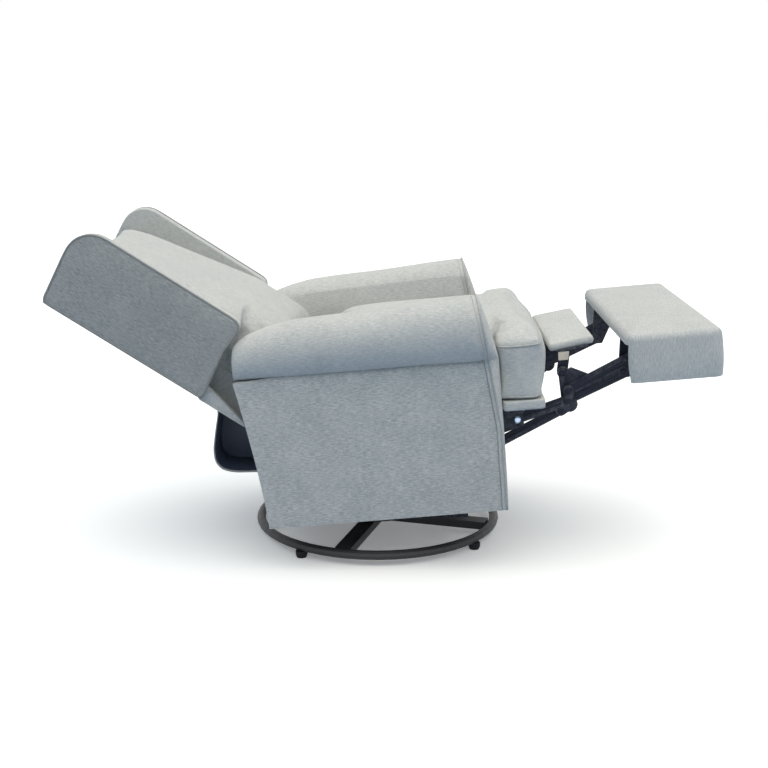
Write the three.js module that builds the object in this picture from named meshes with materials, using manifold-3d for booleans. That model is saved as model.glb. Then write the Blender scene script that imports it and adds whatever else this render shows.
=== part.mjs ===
// A swivel glider recliner with its back down and its footrest out.
// Millimetres, +Z up, +X to the front, +Y to the sitter's left.
import * as THREE from "three";
import { mergeVertices } from "three/addons/utils/BufferGeometryUtils.js";
import Module from "manifold-3d";

const wasm = await Module();
wasm.setup();

// Driving dimensions: clearances
const GAP = 0.3; // between pieces that touch
const PLAY = 0.35; // round a pin in its hole
const OVERRUN = 5; // how far a cut runs past a face

// Driving dimensions: poses
const POSE = { tilt: 5, recline: 52.4 };

// Driving dimensions: widths from the chair's middle, which the seat sets
const WIDTH = {
  seat: 243, play: 3, arm: 102, roll: 66, rollTail: 54, ear: 92, shoulder: 46, mechanism: 18, layer: 6,
  flipper: 50, flap: 5, shelf: 35, frame: 23, panel: 11, ottoman: 2,
};

// Driving dimensions: base and swivel
const RING = { radius: 305, tube: 11, height: 28, sides: 10, steps: 56 };
const ROUND = { rod: 18, washer: 36, foot: 14 }; // sides of round pieces
const FOOT = { radius: 15, taper: 12, turn: -37, count: 4 };
const BAR = { width: 40, depth: 20, turn: -16 };
const SWIVEL = { plate: 95, sheet: 4, inner: 46, outer: 74, race: 5, ball: 3, balls: 10, cage: 2 };
const TOP_PLATE = { length: 230, width: 266 };

// Driving dimensions: glider. The links hang between the carriers and the platform
const CARRIER = { out: 128, sheet: 4, length: 240, height: 142, flange: 22, lean: 30 };
const LINK = { reach: 100, spread: 190, radius: 13, sheet: 5, pin: 5, margin: 17, washer: 1.35 };
const SPACER = { radius: 11, height: 42 };
const RAIL = { sheet: 4, length: 460, low: 68, high: 112 };
const CROSS = { side: 26, inset: 15 };
const TILT = { height: 135, axle: 11, lug: 22 };

// Driving dimensions: mechanism, pivots as [x, z] in the chair's own level frame
const SHEET = 4;
const LAYERS_IN = { plate: 0, crank: 1, drive: 2, front: 3, bracket: 4, flipper: 5 };
const LAYER = {};
Object.entries(LAYERS_IN).forEach(([name, steps]) => {
  LAYER[name] = WIDTH.seat - WIDTH.mechanism - steps * WIDTH.layer;
});
const PIVOT = {
  recline: [-160, 443],
  crank: [355, 316],
  knee: [477, 350],
  control: [483, 375],
  ottoman: [618, 406],
  guide: [630, 440],
  drive: [462, 327],
  flipper: [473, 418],
  torque: [197, 250],
  arm: [292, 251],
};
const BAR_RADIUS = {
  crank: 13, knee: 19, front: 14, control: 13, drive: 12, torque: 12, lug: 16, pivotLug: 14, neck: 11,
  flipper: 13, bracket: 14,
};
const KNEE = { heel: [484, 341], web: [[493, 429], [531, 411], [560, 383]] };
const PIN = 5;
const TORQUE_TUBE = { radius: 12 };

// Driving dimensions: chair body
const SEAT = {
  rear: -82, front: 420, waist: 318, half: WIDTH.seat, wide: WIDTH.seat + WIDTH.ear, low: 388, seam: 519,
  crown: 46, drawIn: 5, bandLow: 366, round: 14,
};
const ARM_INNER = WIDTH.seat + WIDTH.play;
const ARM = {
  floor: 130, crease: 487, inner: ARM_INNER, outer: ARM_INNER + WIDTH.arm, front: 311, rearFoot: 252,
  rearTop: 299, rearCurve: 1.4, skin: 14, crown: 4, seat: 390,
};
const ROLL = {
  centre: ARM_INNER + WIDTH.roll, anchor: ARM_INNER + WIDTH.rollTail, radius: 76, slope: 14, rear: 299,
  rounding: 150, from: -88, to: 150, steps: 16, parts: 4,
};
const FRONT_PANEL = { pad: 12, bulge: 20, face: 317, fall: 32, lean: 36, leanFrom: 330, steps: 14, parts: 5 };
const FRAME = { board: 18, web: 12, rear: 225, front: 278, low: 145, high: 383, top: 480 };
const DECK = { low: 366, padLow: 372, rear: -165 };
const SEAT_RAIL = {
  depth: 20, rear: -134, length: 25, front: 264, shelfEnd: 405, half: LAYER.plate + SHEET - GAP,
  shelfHalf: LAYER.plate - WIDTH.shelf,
};
const CROSS_RAIL = {
  thick: 18, rearX: -250, frontX: 260, rearLow: 165, rearHigh: 238.7, frontLow: 136, frontHigh: 160,
};
const SPRING = { wire: 4, rows: 5, waves: 9, swing: 26, spread: 92, clip: 10, clipHalf: 202, steps: 38 };
const CROWN = { power: 2.6, ease: 0.6 }; // how a padded face falls off towards its seam
const FLAP = {
  sheet: 4, half: WIDTH.seat - WIDTH.flap,
  route: [
    [-374.7, 433.8], [-361.4, 423.6], [-356, 398], [-368, 354], [-380, 305], [-380, 273], [-365, 252],
    [-334, 243], [-283, 241], [-232, 241],
  ],
};

// Driving dimensions: back, in its own frame from the recline hinge: up the back, and out of its face
const BACK_WIDE = WIDTH.seat + WIDTH.shoulder;
const BACK = {
  foot: 25, waist: 190, top: 606, half: WIDTH.seat, wide: BACK_WIDE, rear: 136, panel: 6, board: 15,
  boardFoot: -30, face: 52, crown: 48, topFace: -22, panelHalf: BACK_WIDE + WIDTH.panel, panelFoot: 58,
  frameFront: -75, frameHalf: WIDTH.seat - WIDTH.frame, post: 34, drawIn: 4, round: 18, bracket: 250,
};
const WING = {
  outer: BACK_WIDE + WIDTH.shoulder, foot: 191, rise: 5, top: 612, rear: 125, front: 76, corner: 62,
  crown: 7, lift: 10, edge: 3, steps: 5,
};

// Driving dimensions: footrest
const OTTOMAN = {
  rear: 607, front: 829, half: SEAT.wide + WIDTH.ottoman, low: 407.5, seam: 508, top: 532, skirt: 9,
  board: 8, bulge: 4, round: 24, power: 6, bracket: 120, flange: 24,
};
const FLIPPER = {
  centre: [499, 485], slope: 7, length: 104, half: WIDTH.seat - WIDTH.flipper, thick: 30, inset: 14,
  round: 12, crown: 9, edge: 3, arm: [480, 457],
};

// Materials, with the colours and finishes of the real piece
function finish(colour, roughness, metalness) {
  return new THREE.MeshStandardMaterial({ color: colour, roughness, metalness });
}
const MATERIAL = {
  fabric: finish(0x9fa8ad, 0.95, 0),
  lining: finish(0x23262e, 0.95, 0),
  frame: finish(0x16181d, 0.4, 0.8),
  mechanism: finish(0x1d2230, 0.35, 0.85),
  zinc: finish(0x8f96a3, 0.35, 0.9),
  wood: finish(0xb58f62, 0.7, 0),
  spring: finish(0x4a4d52, 0.4, 0.9),
  plastic: finish(0x101114, 0.6, 0),
};
const SIDES = [{ name: "left", sign: 1 }, { name: "right", sign: -1 }];
const ENDS = [{ name: "front", sign: 1 }, { name: "rear", sign: -1 }];

// Geometry helpers
const QUARTER = Math.PI / 2;

function radians(degrees) {
  return (degrees * Math.PI) / 180;
}

function toSolid(geometry) {
  const bare = new THREE.BufferGeometry().setAttribute("position", geometry.getAttribute("position"));
  bare.setIndex(geometry.index);
  const merged = mergeVertices(bare, 1e-4);
  const mesh = {
    numProp: 3, vertProperties: merged.attributes.position.array,
    triVerts: new Uint32Array(merged.index.array),
  };
  return new wasm.Manifold(new wasm.Mesh(mesh));
}

function toGeometry(shape) {
  if (shape.isBufferGeometry) return shape;
  const mesh = shape.getMesh();
  const points = new Float32Array(mesh.numVert * 3);
  for (let i = 0; i < mesh.numVert; i++) {
    points.set(mesh.vertProperties.subarray(i * mesh.numProp, i * mesh.numProp + 3), i * 3);
  }
  const geometry = new THREE.BufferGeometry();
  geometry.setAttribute("position", new THREE.BufferAttribute(points, 3));
  geometry.setIndex(new THREE.BufferAttribute(mesh.triVerts, 1));
  geometry.computeVertexNormals();
  return geometry;
}

function join(...shapes) {
  return shapes.reduce((whole, shape) => whole.add(shape));
}

function cut(shape, ...tools) {
  return tools.reduce((rest, tool) => rest.subtract(tool), shape);
}

function block(x0, x1, y0, y1, z0, z1) {
  const geometry = new THREE.BoxGeometry(x1 - x0, Math.abs(y1 - y0), z1 - z0);
  geometry.translate((x0 + x1) / 2, (y0 + y1) / 2, (z0 + z1) / 2);
  return toSolid(geometry);
}

// A plate with an outline of [x, z] points, between two places across the chair
function plate(outline, y0, y1) {
  const shape = new THREE.Shape(outline.map(([x, z]) => new THREE.Vector2(x, z)));
  const geometry = new THREE.ExtrudeGeometry(shape, { depth: Math.abs(y1 - y0), bevelEnabled: false });
  geometry.rotateX(Math.PI / 2);
  geometry.translate(0, Math.max(y0, y1), 0);
  return toSolid(geometry);
}

// A round bar across the chair, at an [x, z] place
function rod([x, z], radius, y0, y1) {
  const geometry = new THREE.CylinderGeometry(radius, radius, Math.abs(y1 - y0), ROUND.rod);
  geometry.translate(x, (y0 + y1) / 2, z);
  return toSolid(geometry);
}

// An upright round disc or ring
function disc(profile, steps) {
  const geometry = new THREE.LatheGeometry(profile.map(([r, z]) => new THREE.Vector2(r, z)), steps);
  geometry.rotateX(Math.PI / 2);
  return toSolid(geometry);
}

// A bar with round ends between two [x, z] pivots
function strap(from, to, radius, y0, y1, steps = 8) {
  const along = Math.atan2(to[1] - from[1], to[0] - from[0]);
  const outline = [];
  [[to, -Math.PI / 2], [from, Math.PI / 2]].forEach(([[x, z], start]) => {
    for (let k = 0; k <= steps; k++) {
      const angle = along + start + (Math.PI * k) / steps;
      outline.push([x + radius * Math.cos(angle), z + radius * Math.sin(angle)]);
    }
  });
  return plate(outline, y0, y1);
}

// A closed skin through rings of points, with an end point at each end
function skin(rings, first, last) {
  const count = rings[0].length;
  const points = [first, ...rings.flat(), last];
  const at = (ring, k) => 1 + ring * count + (k % count);
  const triangles = [];
  for (let k = 0; k < count; k++) {
    triangles.push([0, at(0, k + 1), at(0, k)]);
    triangles.push([points.length - 1, at(rings.length - 1, k), at(rings.length - 1, k + 1)]);
    for (let r = 0; r + 1 < rings.length; r++) {
      triangles.push([at(r, k), at(r, k + 1), at(r + 1, k + 1)], [at(r, k), at(r + 1, k + 1), at(r + 1, k)]);
    }
  }
  const v = points.map((p) => new THREE.Vector3(...p));
  const volume = triangles.reduce((sum, [a, b, c]) => sum + v[a].dot(v[b].clone().cross(v[c])), 0);
  const index = triangles.flatMap(([a, b, c]) => (volume < 0 ? [a, c, b] : [a, b, c]));
  const geometry = new THREE.BufferGeometry();
  geometry.setAttribute("position", new THREE.Float32BufferAttribute(points.flat(), 3));
  geometry.setIndex(index);
  return toSolid(geometry);
}

// A padded form over an outline: crowned faces and sides drawn in between their seams.
// place turns (across, along, out) into a point, and low and high give the two seams' places.
function padded({
  outline, centre, low, high, crownLow = 0, crownHigh = 0, drawIn = 0, place, rings = 6, rows = 3,
  power = CROWN.power,
}) {
  const ease = (share) => Math.pow(Math.max(0, 1 - Math.pow(share, power)), CROWN.ease);
  const outward = outline.map(([a, b], k) => {
    const before = outline[(k + outline.length - 1) % outline.length];
    const after = outline[(k + 1) % outline.length];
    const side = new THREE.Vector2(after[1] - before[1], before[0] - after[0]).normalize();
    return side.dot(new THREE.Vector2(a - centre[0], b - centre[1])) < 0 ? side.negate() : side;
  });
  const ring = (share, out) => outline.map(([a, b]) => {
    const across = centre[0] + (a - centre[0]) * share;
    const along = centre[1] + (b - centre[1]) * share;
    return place(across, along, out(across, along));
  });
  const all = [];
  for (let k = 1; k <= rings; k++) {
    const share = Math.sin((Math.PI / 2) * (k / rings));
    all.push(ring(share, (a, b) => high(a, b) + crownHigh * ease(share)));
  }
  for (let k = 1; k < rows; k++) {
    const share = k / rows;
    const inset = drawIn * 4 * share * (1 - share);
    all.push(outline.map(([a, b], i) => {
      const out = high(a, b) + (low(a, b) - high(a, b)) * share;
      return place(a - outward[i].x * inset, b - outward[i].y * inset, out);
    }));
  }
  for (let k = rings; k >= 1; k--) {
    const share = Math.sin((Math.PI / 2) * (k / rings));
    all.push(ring(share, (a, b) => low(a, b) - crownLow * ease(share)));
  }
  const [a, b] = centre;
  return skin(all, place(a, b, high(a, b) + crownHigh), place(a, b, low(a, b) - crownLow));
}

// A closed outline with points added along its sides, about a step apart
function subdivide(outline, step) {
  return outline.flatMap(([a, b], k) => {
    const [nextA, nextB] = outline[(k + 1) % outline.length];
    const parts = Math.max(1, Math.round(Math.hypot(nextA - a, nextB - b) / step));
    return Array.from(
      { length: parts }, (_, i) => [a + ((nextA - a) * i) / parts, b + ((nextB - b) * i) / parts],
    );
  });
}

// A rectangle's outline with round corners, as many points on each side as asked
function roundedBox(a0, a1, b0, b1, radius, steps = 3, between = 4) {
  const left = a0 + radius;
  const right = a1 - radius;
  const near = b0 + radius;
  const far = b1 - radius;
  const turned = [[right, far], [left, far], [left, near], [right, near]].map(([a, b], corner) => {
    const arc = [];
    for (let k = 0; k <= steps; k++) {
      const angle = QUARTER * (corner + k / steps);
      arc.push([a + radius * Math.cos(angle), b + radius * Math.sin(angle)]);
    }
    return arc;
  });
  return turned.flatMap((arc, k) => {
    const next = turned[(k + 1) % turned.length][0];
    const last = arc[arc.length - 1];
    const filled = [...arc];
    for (let i = 1; i < between; i++) {
      filled.push([
        last[0] + ((next[0] - last[0]) * i) / between, last[1] + ((next[1] - last[1]) * i) / between,
      ]);
    }
    return filled;
  });
}

// A T's outline, narrow at the foot: across, then along
function teeOutline({ foot, waist, top, half, wide, radius, between = 4 }) {
  const corners = [
    [0, foot], [half - radius, foot], [half, foot + radius], [half, waist - radius], [half + radius, waist],
    [wide - radius, waist], [wide, waist + radius], [wide, top - radius], [wide - radius, top], [0, top],
  ];
  const side = [];
  corners.forEach((point, k) => {
    if (k) {
      const from = corners[k - 1];
      const length = Math.hypot(point[0] - from[0], point[1] - from[1]);
      const parts = length > radius * between ? between : 1;
      for (let i = 1; i < parts; i++) {
        side.push([
          from[0] + ((point[0] - from[0]) * i) / parts, from[1] + ((point[1] - from[1]) * i) / parts,
        ]);
      }
    }
    side.push(point);
  });
  const other = side.slice(1, -1).reverse().map(([a, b]) => [-a, b]);
  return [...side, ...other];
}

const root = new THREE.Group();
const level = new THREE.Group(); // the chair body's level frame, tilted about the platform's axles
const tilted = new THREE.Group();
tilted.position.set(0, 0, TILT.height);
tilted.rotation.y = -radians(POSE.tilt);
level.position.set(0, 0, -TILT.height);
tilted.add(level);
root.add(tilted);
const back = new THREE.Group(); // the back's frame: +Z up the back, +X out of its face
back.position.set(PIVOT.recline[0], 0, PIVOT.recline[1]);
back.rotation.y = -radians(POSE.recline);
level.add(back);

function add(group, name, shape, material) {
  const mesh = new THREE.Mesh(toGeometry(shape), material);
  mesh.name = name;
  group.add(mesh);
  return mesh;
}

// Base: ring, cross bars, feet, swivel plate and the lower half of the bearing
function makeBase() {
  const tube = [];
  const corner = RING.tube / Math.cos(Math.PI / RING.sides);
  for (let k = 0; k < RING.sides; k++) {
    const angle = (2 * Math.PI * k) / RING.sides;
    tube.push([RING.radius + corner * Math.cos(angle), RING.height + corner * Math.sin(angle)]);
  }
  add(root, "base_ring", disc([...tube, tube[0]], RING.steps), MATERIAL.frame);

  const inside = RING.radius - corner - GAP;
  const reach = Math.sqrt(inside * inside - (BAR.width * BAR.width) / 4) * Math.cos(Math.PI / RING.steps);
  const low = RING.height - BAR.depth / 2;
  const high = RING.height + BAR.depth / 2;
  const bars = new THREE.Group();
  bars.rotation.z = radians(BAR.turn);
  root.add(bars);
  const half = BAR.width / 2;
  const crossed = join(
    block(-reach, reach, -half, half, low, high), block(-half, half, -reach, reach, low, high),
  );
  add(bars, "base_cross", crossed, MATERIAL.frame);

  for (let k = 0; k < FOOT.count; k++) {
    const angle = radians(FOOT.turn) + (2 * Math.PI * k) / FOOT.count;
    const top = RING.height - RING.tube - GAP;
    const foot = disc(
      [[0, 0], [FOOT.taper, 0], [FOOT.radius, top / 2], [FOOT.radius, top], [0, top]], ROUND.foot,
    );
    const mesh = add(root, "base_foot_" + (k + 1), foot, MATERIAL.plastic);
    mesh.position.set(RING.radius * Math.cos(angle), RING.radius * Math.sin(angle), 0);
  }

  const washer = (inner, outer, from, to) => disc(
    [[inner, from], [outer, from], [outer, to], [inner, to], [inner, from]], ROUND.washer,
  );
  const plateLow = high + GAP;
  const raceLow = plateLow + SWIVEL.sheet + GAP;
  const ballLow = raceLow + SWIVEL.race + GAP;
  const upperLow = ballLow + 2 * SWIVEL.ball + GAP;
  const topLow = upperLow + SWIVEL.race + GAP;
  add(
    root, "swivel_lower_plate", washer(SWIVEL.inner / 2, SWIVEL.plate, plateLow, plateLow + SWIVEL.sheet),
    MATERIAL.frame,
  );
  add(
    root, "bearing_lower_race", washer(SWIVEL.inner, SWIVEL.outer, raceLow, raceLow + SWIVEL.race),
    MATERIAL.zinc,
  );
  const middle = (SWIVEL.inner + SWIVEL.outer) / 2;
  const cageLow = ballLow + SWIVEL.ball - SWIVEL.cage / 2;
  const width = SWIVEL.ball * 2;
  const parts = [washer(middle - width, middle + width, cageLow, cageLow + SWIVEL.cage)];
  for (let k = 0; k < SWIVEL.balls; k++) {
    const angle = (2 * Math.PI * k) / SWIVEL.balls;
    const ball = new THREE.SphereGeometry(SWIVEL.ball, 8, 4);
    ball.translate(middle * Math.cos(angle), middle * Math.sin(angle), ballLow + SWIVEL.ball);
    parts.push(toSolid(ball));
  }
  add(root, "bearing_cage", join(...parts), MATERIAL.zinc);
  add(
    root, "bearing_upper_race", washer(SWIVEL.inner, SWIVEL.outer, upperLow, upperLow + SWIVEL.race),
    MATERIAL.zinc,
  );
  const top = block(
    -TOP_PLATE.length / 2, TOP_PLATE.length / 2, -TOP_PLATE.width / 2, TOP_PLATE.width / 2, topLow,
    topLow + SWIVEL.sheet,
  );
  add(root, "swivel_upper_plate", top, MATERIAL.frame);
  return topLow + SWIVEL.sheet;
}

// Glider: carriers on the swivel, four hanging links and the platform that they carry
function makeGlider(deck) {
  const low = deck + GAP;
  const high = low + CARRIER.height;
  const pivotHigh = high - LINK.margin;
  const pivotLow = pivotHigh - LINK.reach;
  const linkOut = CARRIER.out + CARRIER.sheet + LINK.washer;
  const railOut = linkOut + LINK.sheet + LINK.washer;
  const holeX = LINK.spread / 2;
  const platform = [];
  SIDES.forEach(({ name, sign }) => {
    const y = (distance) => sign * distance;
    const foot = CARRIER.length / 2;
    const head = foot - CARRIER.lean / 2;
    const web = plate(
      [[-foot, low], [foot, low], [head, high], [-head, high]], y(CARRIER.out),
      y(CARRIER.out + CARRIER.sheet),
    );
    const flange = block(
      -foot, foot, y(CARRIER.out - CARRIER.flange), y(CARRIER.out + CARRIER.sheet / 2), low,
      low + CARRIER.sheet,
    );
    const bores = ENDS.map((end) => rod(
      [end.sign * holeX, pivotHigh], LINK.pin + PLAY, y(CARRIER.out - OVERRUN),
      y(CARRIER.out + CARRIER.sheet + OVERRUN),
    ));
    add(root, "glide_carrier_" + name, cut(join(web, flange), ...bores), MATERIAL.frame);

    ENDS.forEach((end) => {
      const top = [end.sign * holeX, pivotHigh];
      const bottom = [end.sign * holeX, pivotLow];
      const bar = strap(bottom, top, LINK.radius, y(linkOut), y(linkOut + LINK.sheet));
      const upperPin = rod(top, LINK.pin, y(CARRIER.out), y(linkOut + LINK.sheet / 2));
      const lowerPin = rod(bottom, LINK.pin, y(linkOut + LINK.sheet / 2), y(railOut + RAIL.sheet));
      add(root, "glide_link_" + end.name + "_" + name, join(bar, upperPin, lowerPin), MATERIAL.mechanism);
    });

    const half = RAIL.length / 2;
    const rail = block(-half, half, y(railOut), y(railOut + RAIL.sheet), RAIL.low, RAIL.high);
    const lug = strap(
      [0, RAIL.low + TILT.lug], [0, TILT.height], TILT.lug, y(railOut), y(railOut + RAIL.sheet),
    );
    const axle = rod([0, TILT.height], TILT.axle, y(railOut), y(LAYER.plate + SHEET));
    const holes = ENDS.map((end) => rod(
      [end.sign * holeX, pivotLow], LINK.pin + PLAY, y(railOut - OVERRUN), y(railOut + RAIL.sheet + OVERRUN),
    ));
    platform.push(cut(join(rail, lug, axle), ...holes));
  });
  const inside = CARRIER.out - GAP;
  add(root, "carrier_spacer", rod([0, low + SPACER.height], SPACER.radius, -inside, inside), MATERIAL.frame);
  ENDS.forEach((end) => {
    const x = end.sign * (RAIL.length / 2 - CROSS.inset);
    const z = (RAIL.low + RAIL.high) / 2;
    const side = CROSS.side / 2;
    platform.push(block(x - side, x + side, -railOut - GAP, railOut + GAP, z - side, z + side));
  });
  add(root, "platform_frame", join(...platform), MATERIAL.mechanism);
}

// Mechanism plates, bolted inside the arms, with the tilt axles, the footrest's pivots and the recline hinge
function makeMechanismPlates() {
  SIDES.forEach(({ name, sign }) => {
    const [from, to] = [sign * LAYER.plate, sign * (LAYER.plate + SHEET)];
    const [reclineX, reclineZ] = PIVOT.recline;
    const top = SEAT.bandLow - SEAT_RAIL.depth - 2 * GAP;
    const lug = BAR_RADIUS.lug;
    const nose = PIVOT.crank[0] + lug;
    const outline = [
      [-TILT.lug, TILT.height - TILT.lug], [TILT.lug, TILT.height - TILT.lug], [
        PIVOT.torque[0], PIVOT.torque[1] - lug - TILT.lug / 2,
      ],
      [PIVOT.torque[0] + 2 * lug, PIVOT.torque[1] + lug / 2], [nose, PIVOT.crank[1] - lug], [nose, top],
      [reclineX + 1.5 * lug, top], [reclineX + lug, reclineZ], [reclineX - lug, reclineZ], [
        reclineX - lug, top - 4 * lug,
      ],
    ];
    const body = join(plate(outline, from, to), rod(PIVOT.recline, lug, from, to));
    const bore = (place, radius) => rod(
      place, radius + PLAY, sign * (LAYER.plate - OVERRUN), sign * (LAYER.plate + SHEET + OVERRUN),
    );
    const holes = [
      bore([0, TILT.height], TILT.axle), bore(PIVOT.recline, PIN), bore(PIVOT.crank, PIN),
      bore(PIVOT.torque, PIN),
    ];
    add(level, "mechanism_plate_" + name, cut(body, ...holes), MATERIAL.mechanism);
  });
}

// The arm's front line leans back from below the seat up to the roll
function frontLine(z) {
  const share = Math.max(0, z - FRONT_PANEL.leanFrom) / (ARM.crease + 2 * ROLL.radius - FRONT_PANEL.leanFrom);
  return ARM.front - FRONT_PANEL.lean * share;
}

// The arm's rear edge slopes back from foot to roll
function rearLine(z) {
  const share = (z - ARM.floor) / (ARM.crease - ARM.floor);
  return -ARM.rearFoot - (ARM.rearTop - ARM.rearFoot) * Math.pow(share, ARM.rearCurve);
}

// Heights up the arm's side, from its foot to the crease under the roll
function sideHeights(rows) {
  return Array.from({ length: rows + 1 }, (_, k) => ARM.floor + ((ARM.crease - ARM.floor) * k) / rows);
}

// How the roll rounds off behind: shares of the rounding's length and of the section's size
const ROLL_END_SHARES = [[0, 0.3], [0.09, 0.6], [0.23, 0.76], [0.46, 0.87], [1, 1]];

function makeArmFrame(name, y) {
  const webIn = ARM.inner + ARM.skin + GAP;
  const outer = ARM.outer - ARM.skin - GAP;
  const boards = [
    block(
      -FRAME.rear, FRAME.front, y(LAYER.plate + SHEET + GAP), y(webIn + FRAME.web), FRAME.low, FRAME.high,
    ),
    block(-FRAME.rear, FRAME.front, y(webIn), y(webIn + FRAME.web), FRAME.low, FRAME.top),
    block(-FRAME.rear, -FRAME.rear + FRAME.board, y(webIn), y(outer), FRAME.low, FRAME.top),
    block(FRAME.front - FRAME.board, FRAME.front, y(webIn), y(outer), FRAME.low, FRAME.top),
    block(-FRAME.rear, FRAME.front, y(webIn), y(outer), FRAME.top - FRAME.board, FRAME.top),
  ];
  add(level, "arm_frame_" + name, join(...boards), MATERIAL.wood);
}

// Outer side of an arm, with a return that closes it behind
function makeArmSide(name, y, front) {
  const heights = sideHeights(6);
  const outline = heights.map((z) => [frontLine(z) - FRONT_PANEL.pad - GAP, z]);
  outline.push(...heights.toReversed().map((z) => [rearLine(z), z]));
  const side = padded({
    outline, centre: [0, (ARM.floor + ARM.crease) / 2], low: () => ARM.outer - ARM.skin,
    high: () => ARM.outer - ARM.crown, crownHigh: ARM.crown, place: (a, b, c) => [a, y(c), b], rings: 4,
    rows: 2,
  });
  const inside = heights.map((z) => [rearLine(z) + ARM.skin, z]);
  const outside = heights.toReversed().map((z) => [rearLine(z) + GAP, z]);
  const rear = plate([...inside, ...outside], y(ARM.inner + ARM.skin + GAP), y(ARM.outer - ARM.skin / 2));
  add(level, "arm_side_" + name, cut(join(side, rear), front.translate([-GAP, 0, 0])), MATERIAL.fabric);
}

// Roll and inner side of an arm: one section, drawn along the arm and rounded off behind
function makeArmRoll(name, y) {
  const foot = ARM.crease + GAP;
  const roundEnd = -ROLL.rear + ROLL.rounding;
  const stations = ROLL_END_SHARES.map(([along, size]) => [-ROLL.rear + ROLL.rounding * along, size, 0]);
  for (let k = 1; k <= ROLL.parts; k++) stations.push([roundEnd, 1, k / ROLL.parts]);
  const rings = stations.map(([start, size, share]) => {
    const along = (start + ROLL.rear + share * (ARM.front - roundEnd)) / (ROLL.rear + ARM.front);
    const radius = ROLL.radius - ROLL.slope * (1 - along);
    const section = [];
    for (let k = 0; k <= ROLL.steps; k++) {
      const angle = radians(ROLL.from + ((ROLL.to - ROLL.from) * k) / ROLL.steps);
      const across = ROLL.centre + radius * Math.cos(angle);
      const height = foot + radius + radius * Math.sin(angle);
      section.push([ROLL.anchor + (across - ROLL.anchor) * size, foot + (height - foot) * size]);
    }
    section.push(
      [ARM.inner, foot], [ARM.inner, ARM.seat], [ARM.inner + ARM.skin, ARM.seat],
      [ARM.inner + ARM.skin, foot],
    );
    return section.map(([across, z]) => {
      const front = frontLine(z) - FRONT_PANEL.pad - GAP;
      return [Math.max(start + share * (front - roundEnd), z < foot ? rearLine(z) : start), y(across), z];
    });
  });
  const middle = (ring) => [0, 1, 2].map((i) => ring.reduce((sum, point) => sum + point[i], 0) / ring.length);
  add(
    level, "arm_roll_" + name, skin(rings, middle(rings[0]), middle(rings[rings.length - 1])),
    MATERIAL.fabric,
  );
}

// Padded panel on the front of an arm: a round head over a straight leg
function makeArmFront(name, y) {
  const centreZ = ARM.crease + GAP + ROLL.radius;
  const outerTurn = -Math.acos((ARM.outer - ROLL.centre) / ROLL.radius);
  const innerTurn = Math.acos((ARM.inner - ROLL.centre) / ROLL.radius);
  const outline = [];
  const legTop = centreZ + ROLL.radius * Math.sin(outerTurn);
  for (let k = 0; k < FRONT_PANEL.parts; k++) {
    outline.push([ARM.outer, ARM.floor + ((legTop - ARM.floor) * k) / FRONT_PANEL.parts]);
  }
  for (let k = 0; k <= FRONT_PANEL.steps; k++) {
    const angle = outerTurn + ((innerTurn - outerTurn) * k) / FRONT_PANEL.steps;
    outline.push([ROLL.centre + ROLL.radius * Math.cos(angle), centreZ + ROLL.radius * Math.sin(angle)]);
  }
  const innerTop = centreZ + ROLL.radius * Math.sin(innerTurn);
  for (let k = 1; k <= FRONT_PANEL.parts; k++) {
    outline.push([ARM.inner, innerTop + ((ARM.floor - innerTop) * k) / FRONT_PANEL.parts]);
  }
  const face = (z) => FRONT_PANEL.face - (FRONT_PANEL.fall * Math.max(0, z - ARM.crease)) / (2 * ROLL.radius);
  const swell = (z) => (face(z) - frontLine(z)) / FRONT_PANEL.bulge;
  const place = (a, b, c) => [frontLine(b) + (c > 0 ? c * swell(b) : c), y(a), b];
  const centre = [(ARM.inner + ARM.outer) / 2, ARM.crease - ARM.crown];
  const shape = padded({
    outline, centre, low: () => -FRONT_PANEL.pad, high: () => 0, crownHigh: FRONT_PANEL.bulge, place,
    rings: 5, rows: 1,
  });
  add(level, "arm_front_" + name, shape, MATERIAL.fabric);
  return shape;
}

function makeArms() {
  SIDES.forEach(({ name, sign }) => {
    const y = (distance) => sign * distance;
    makeArmFrame(name, y);
    makeArmRoll(name, y);
    makeArmSide(name, y, makeArmFront(name, y));
  });
}

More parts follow.
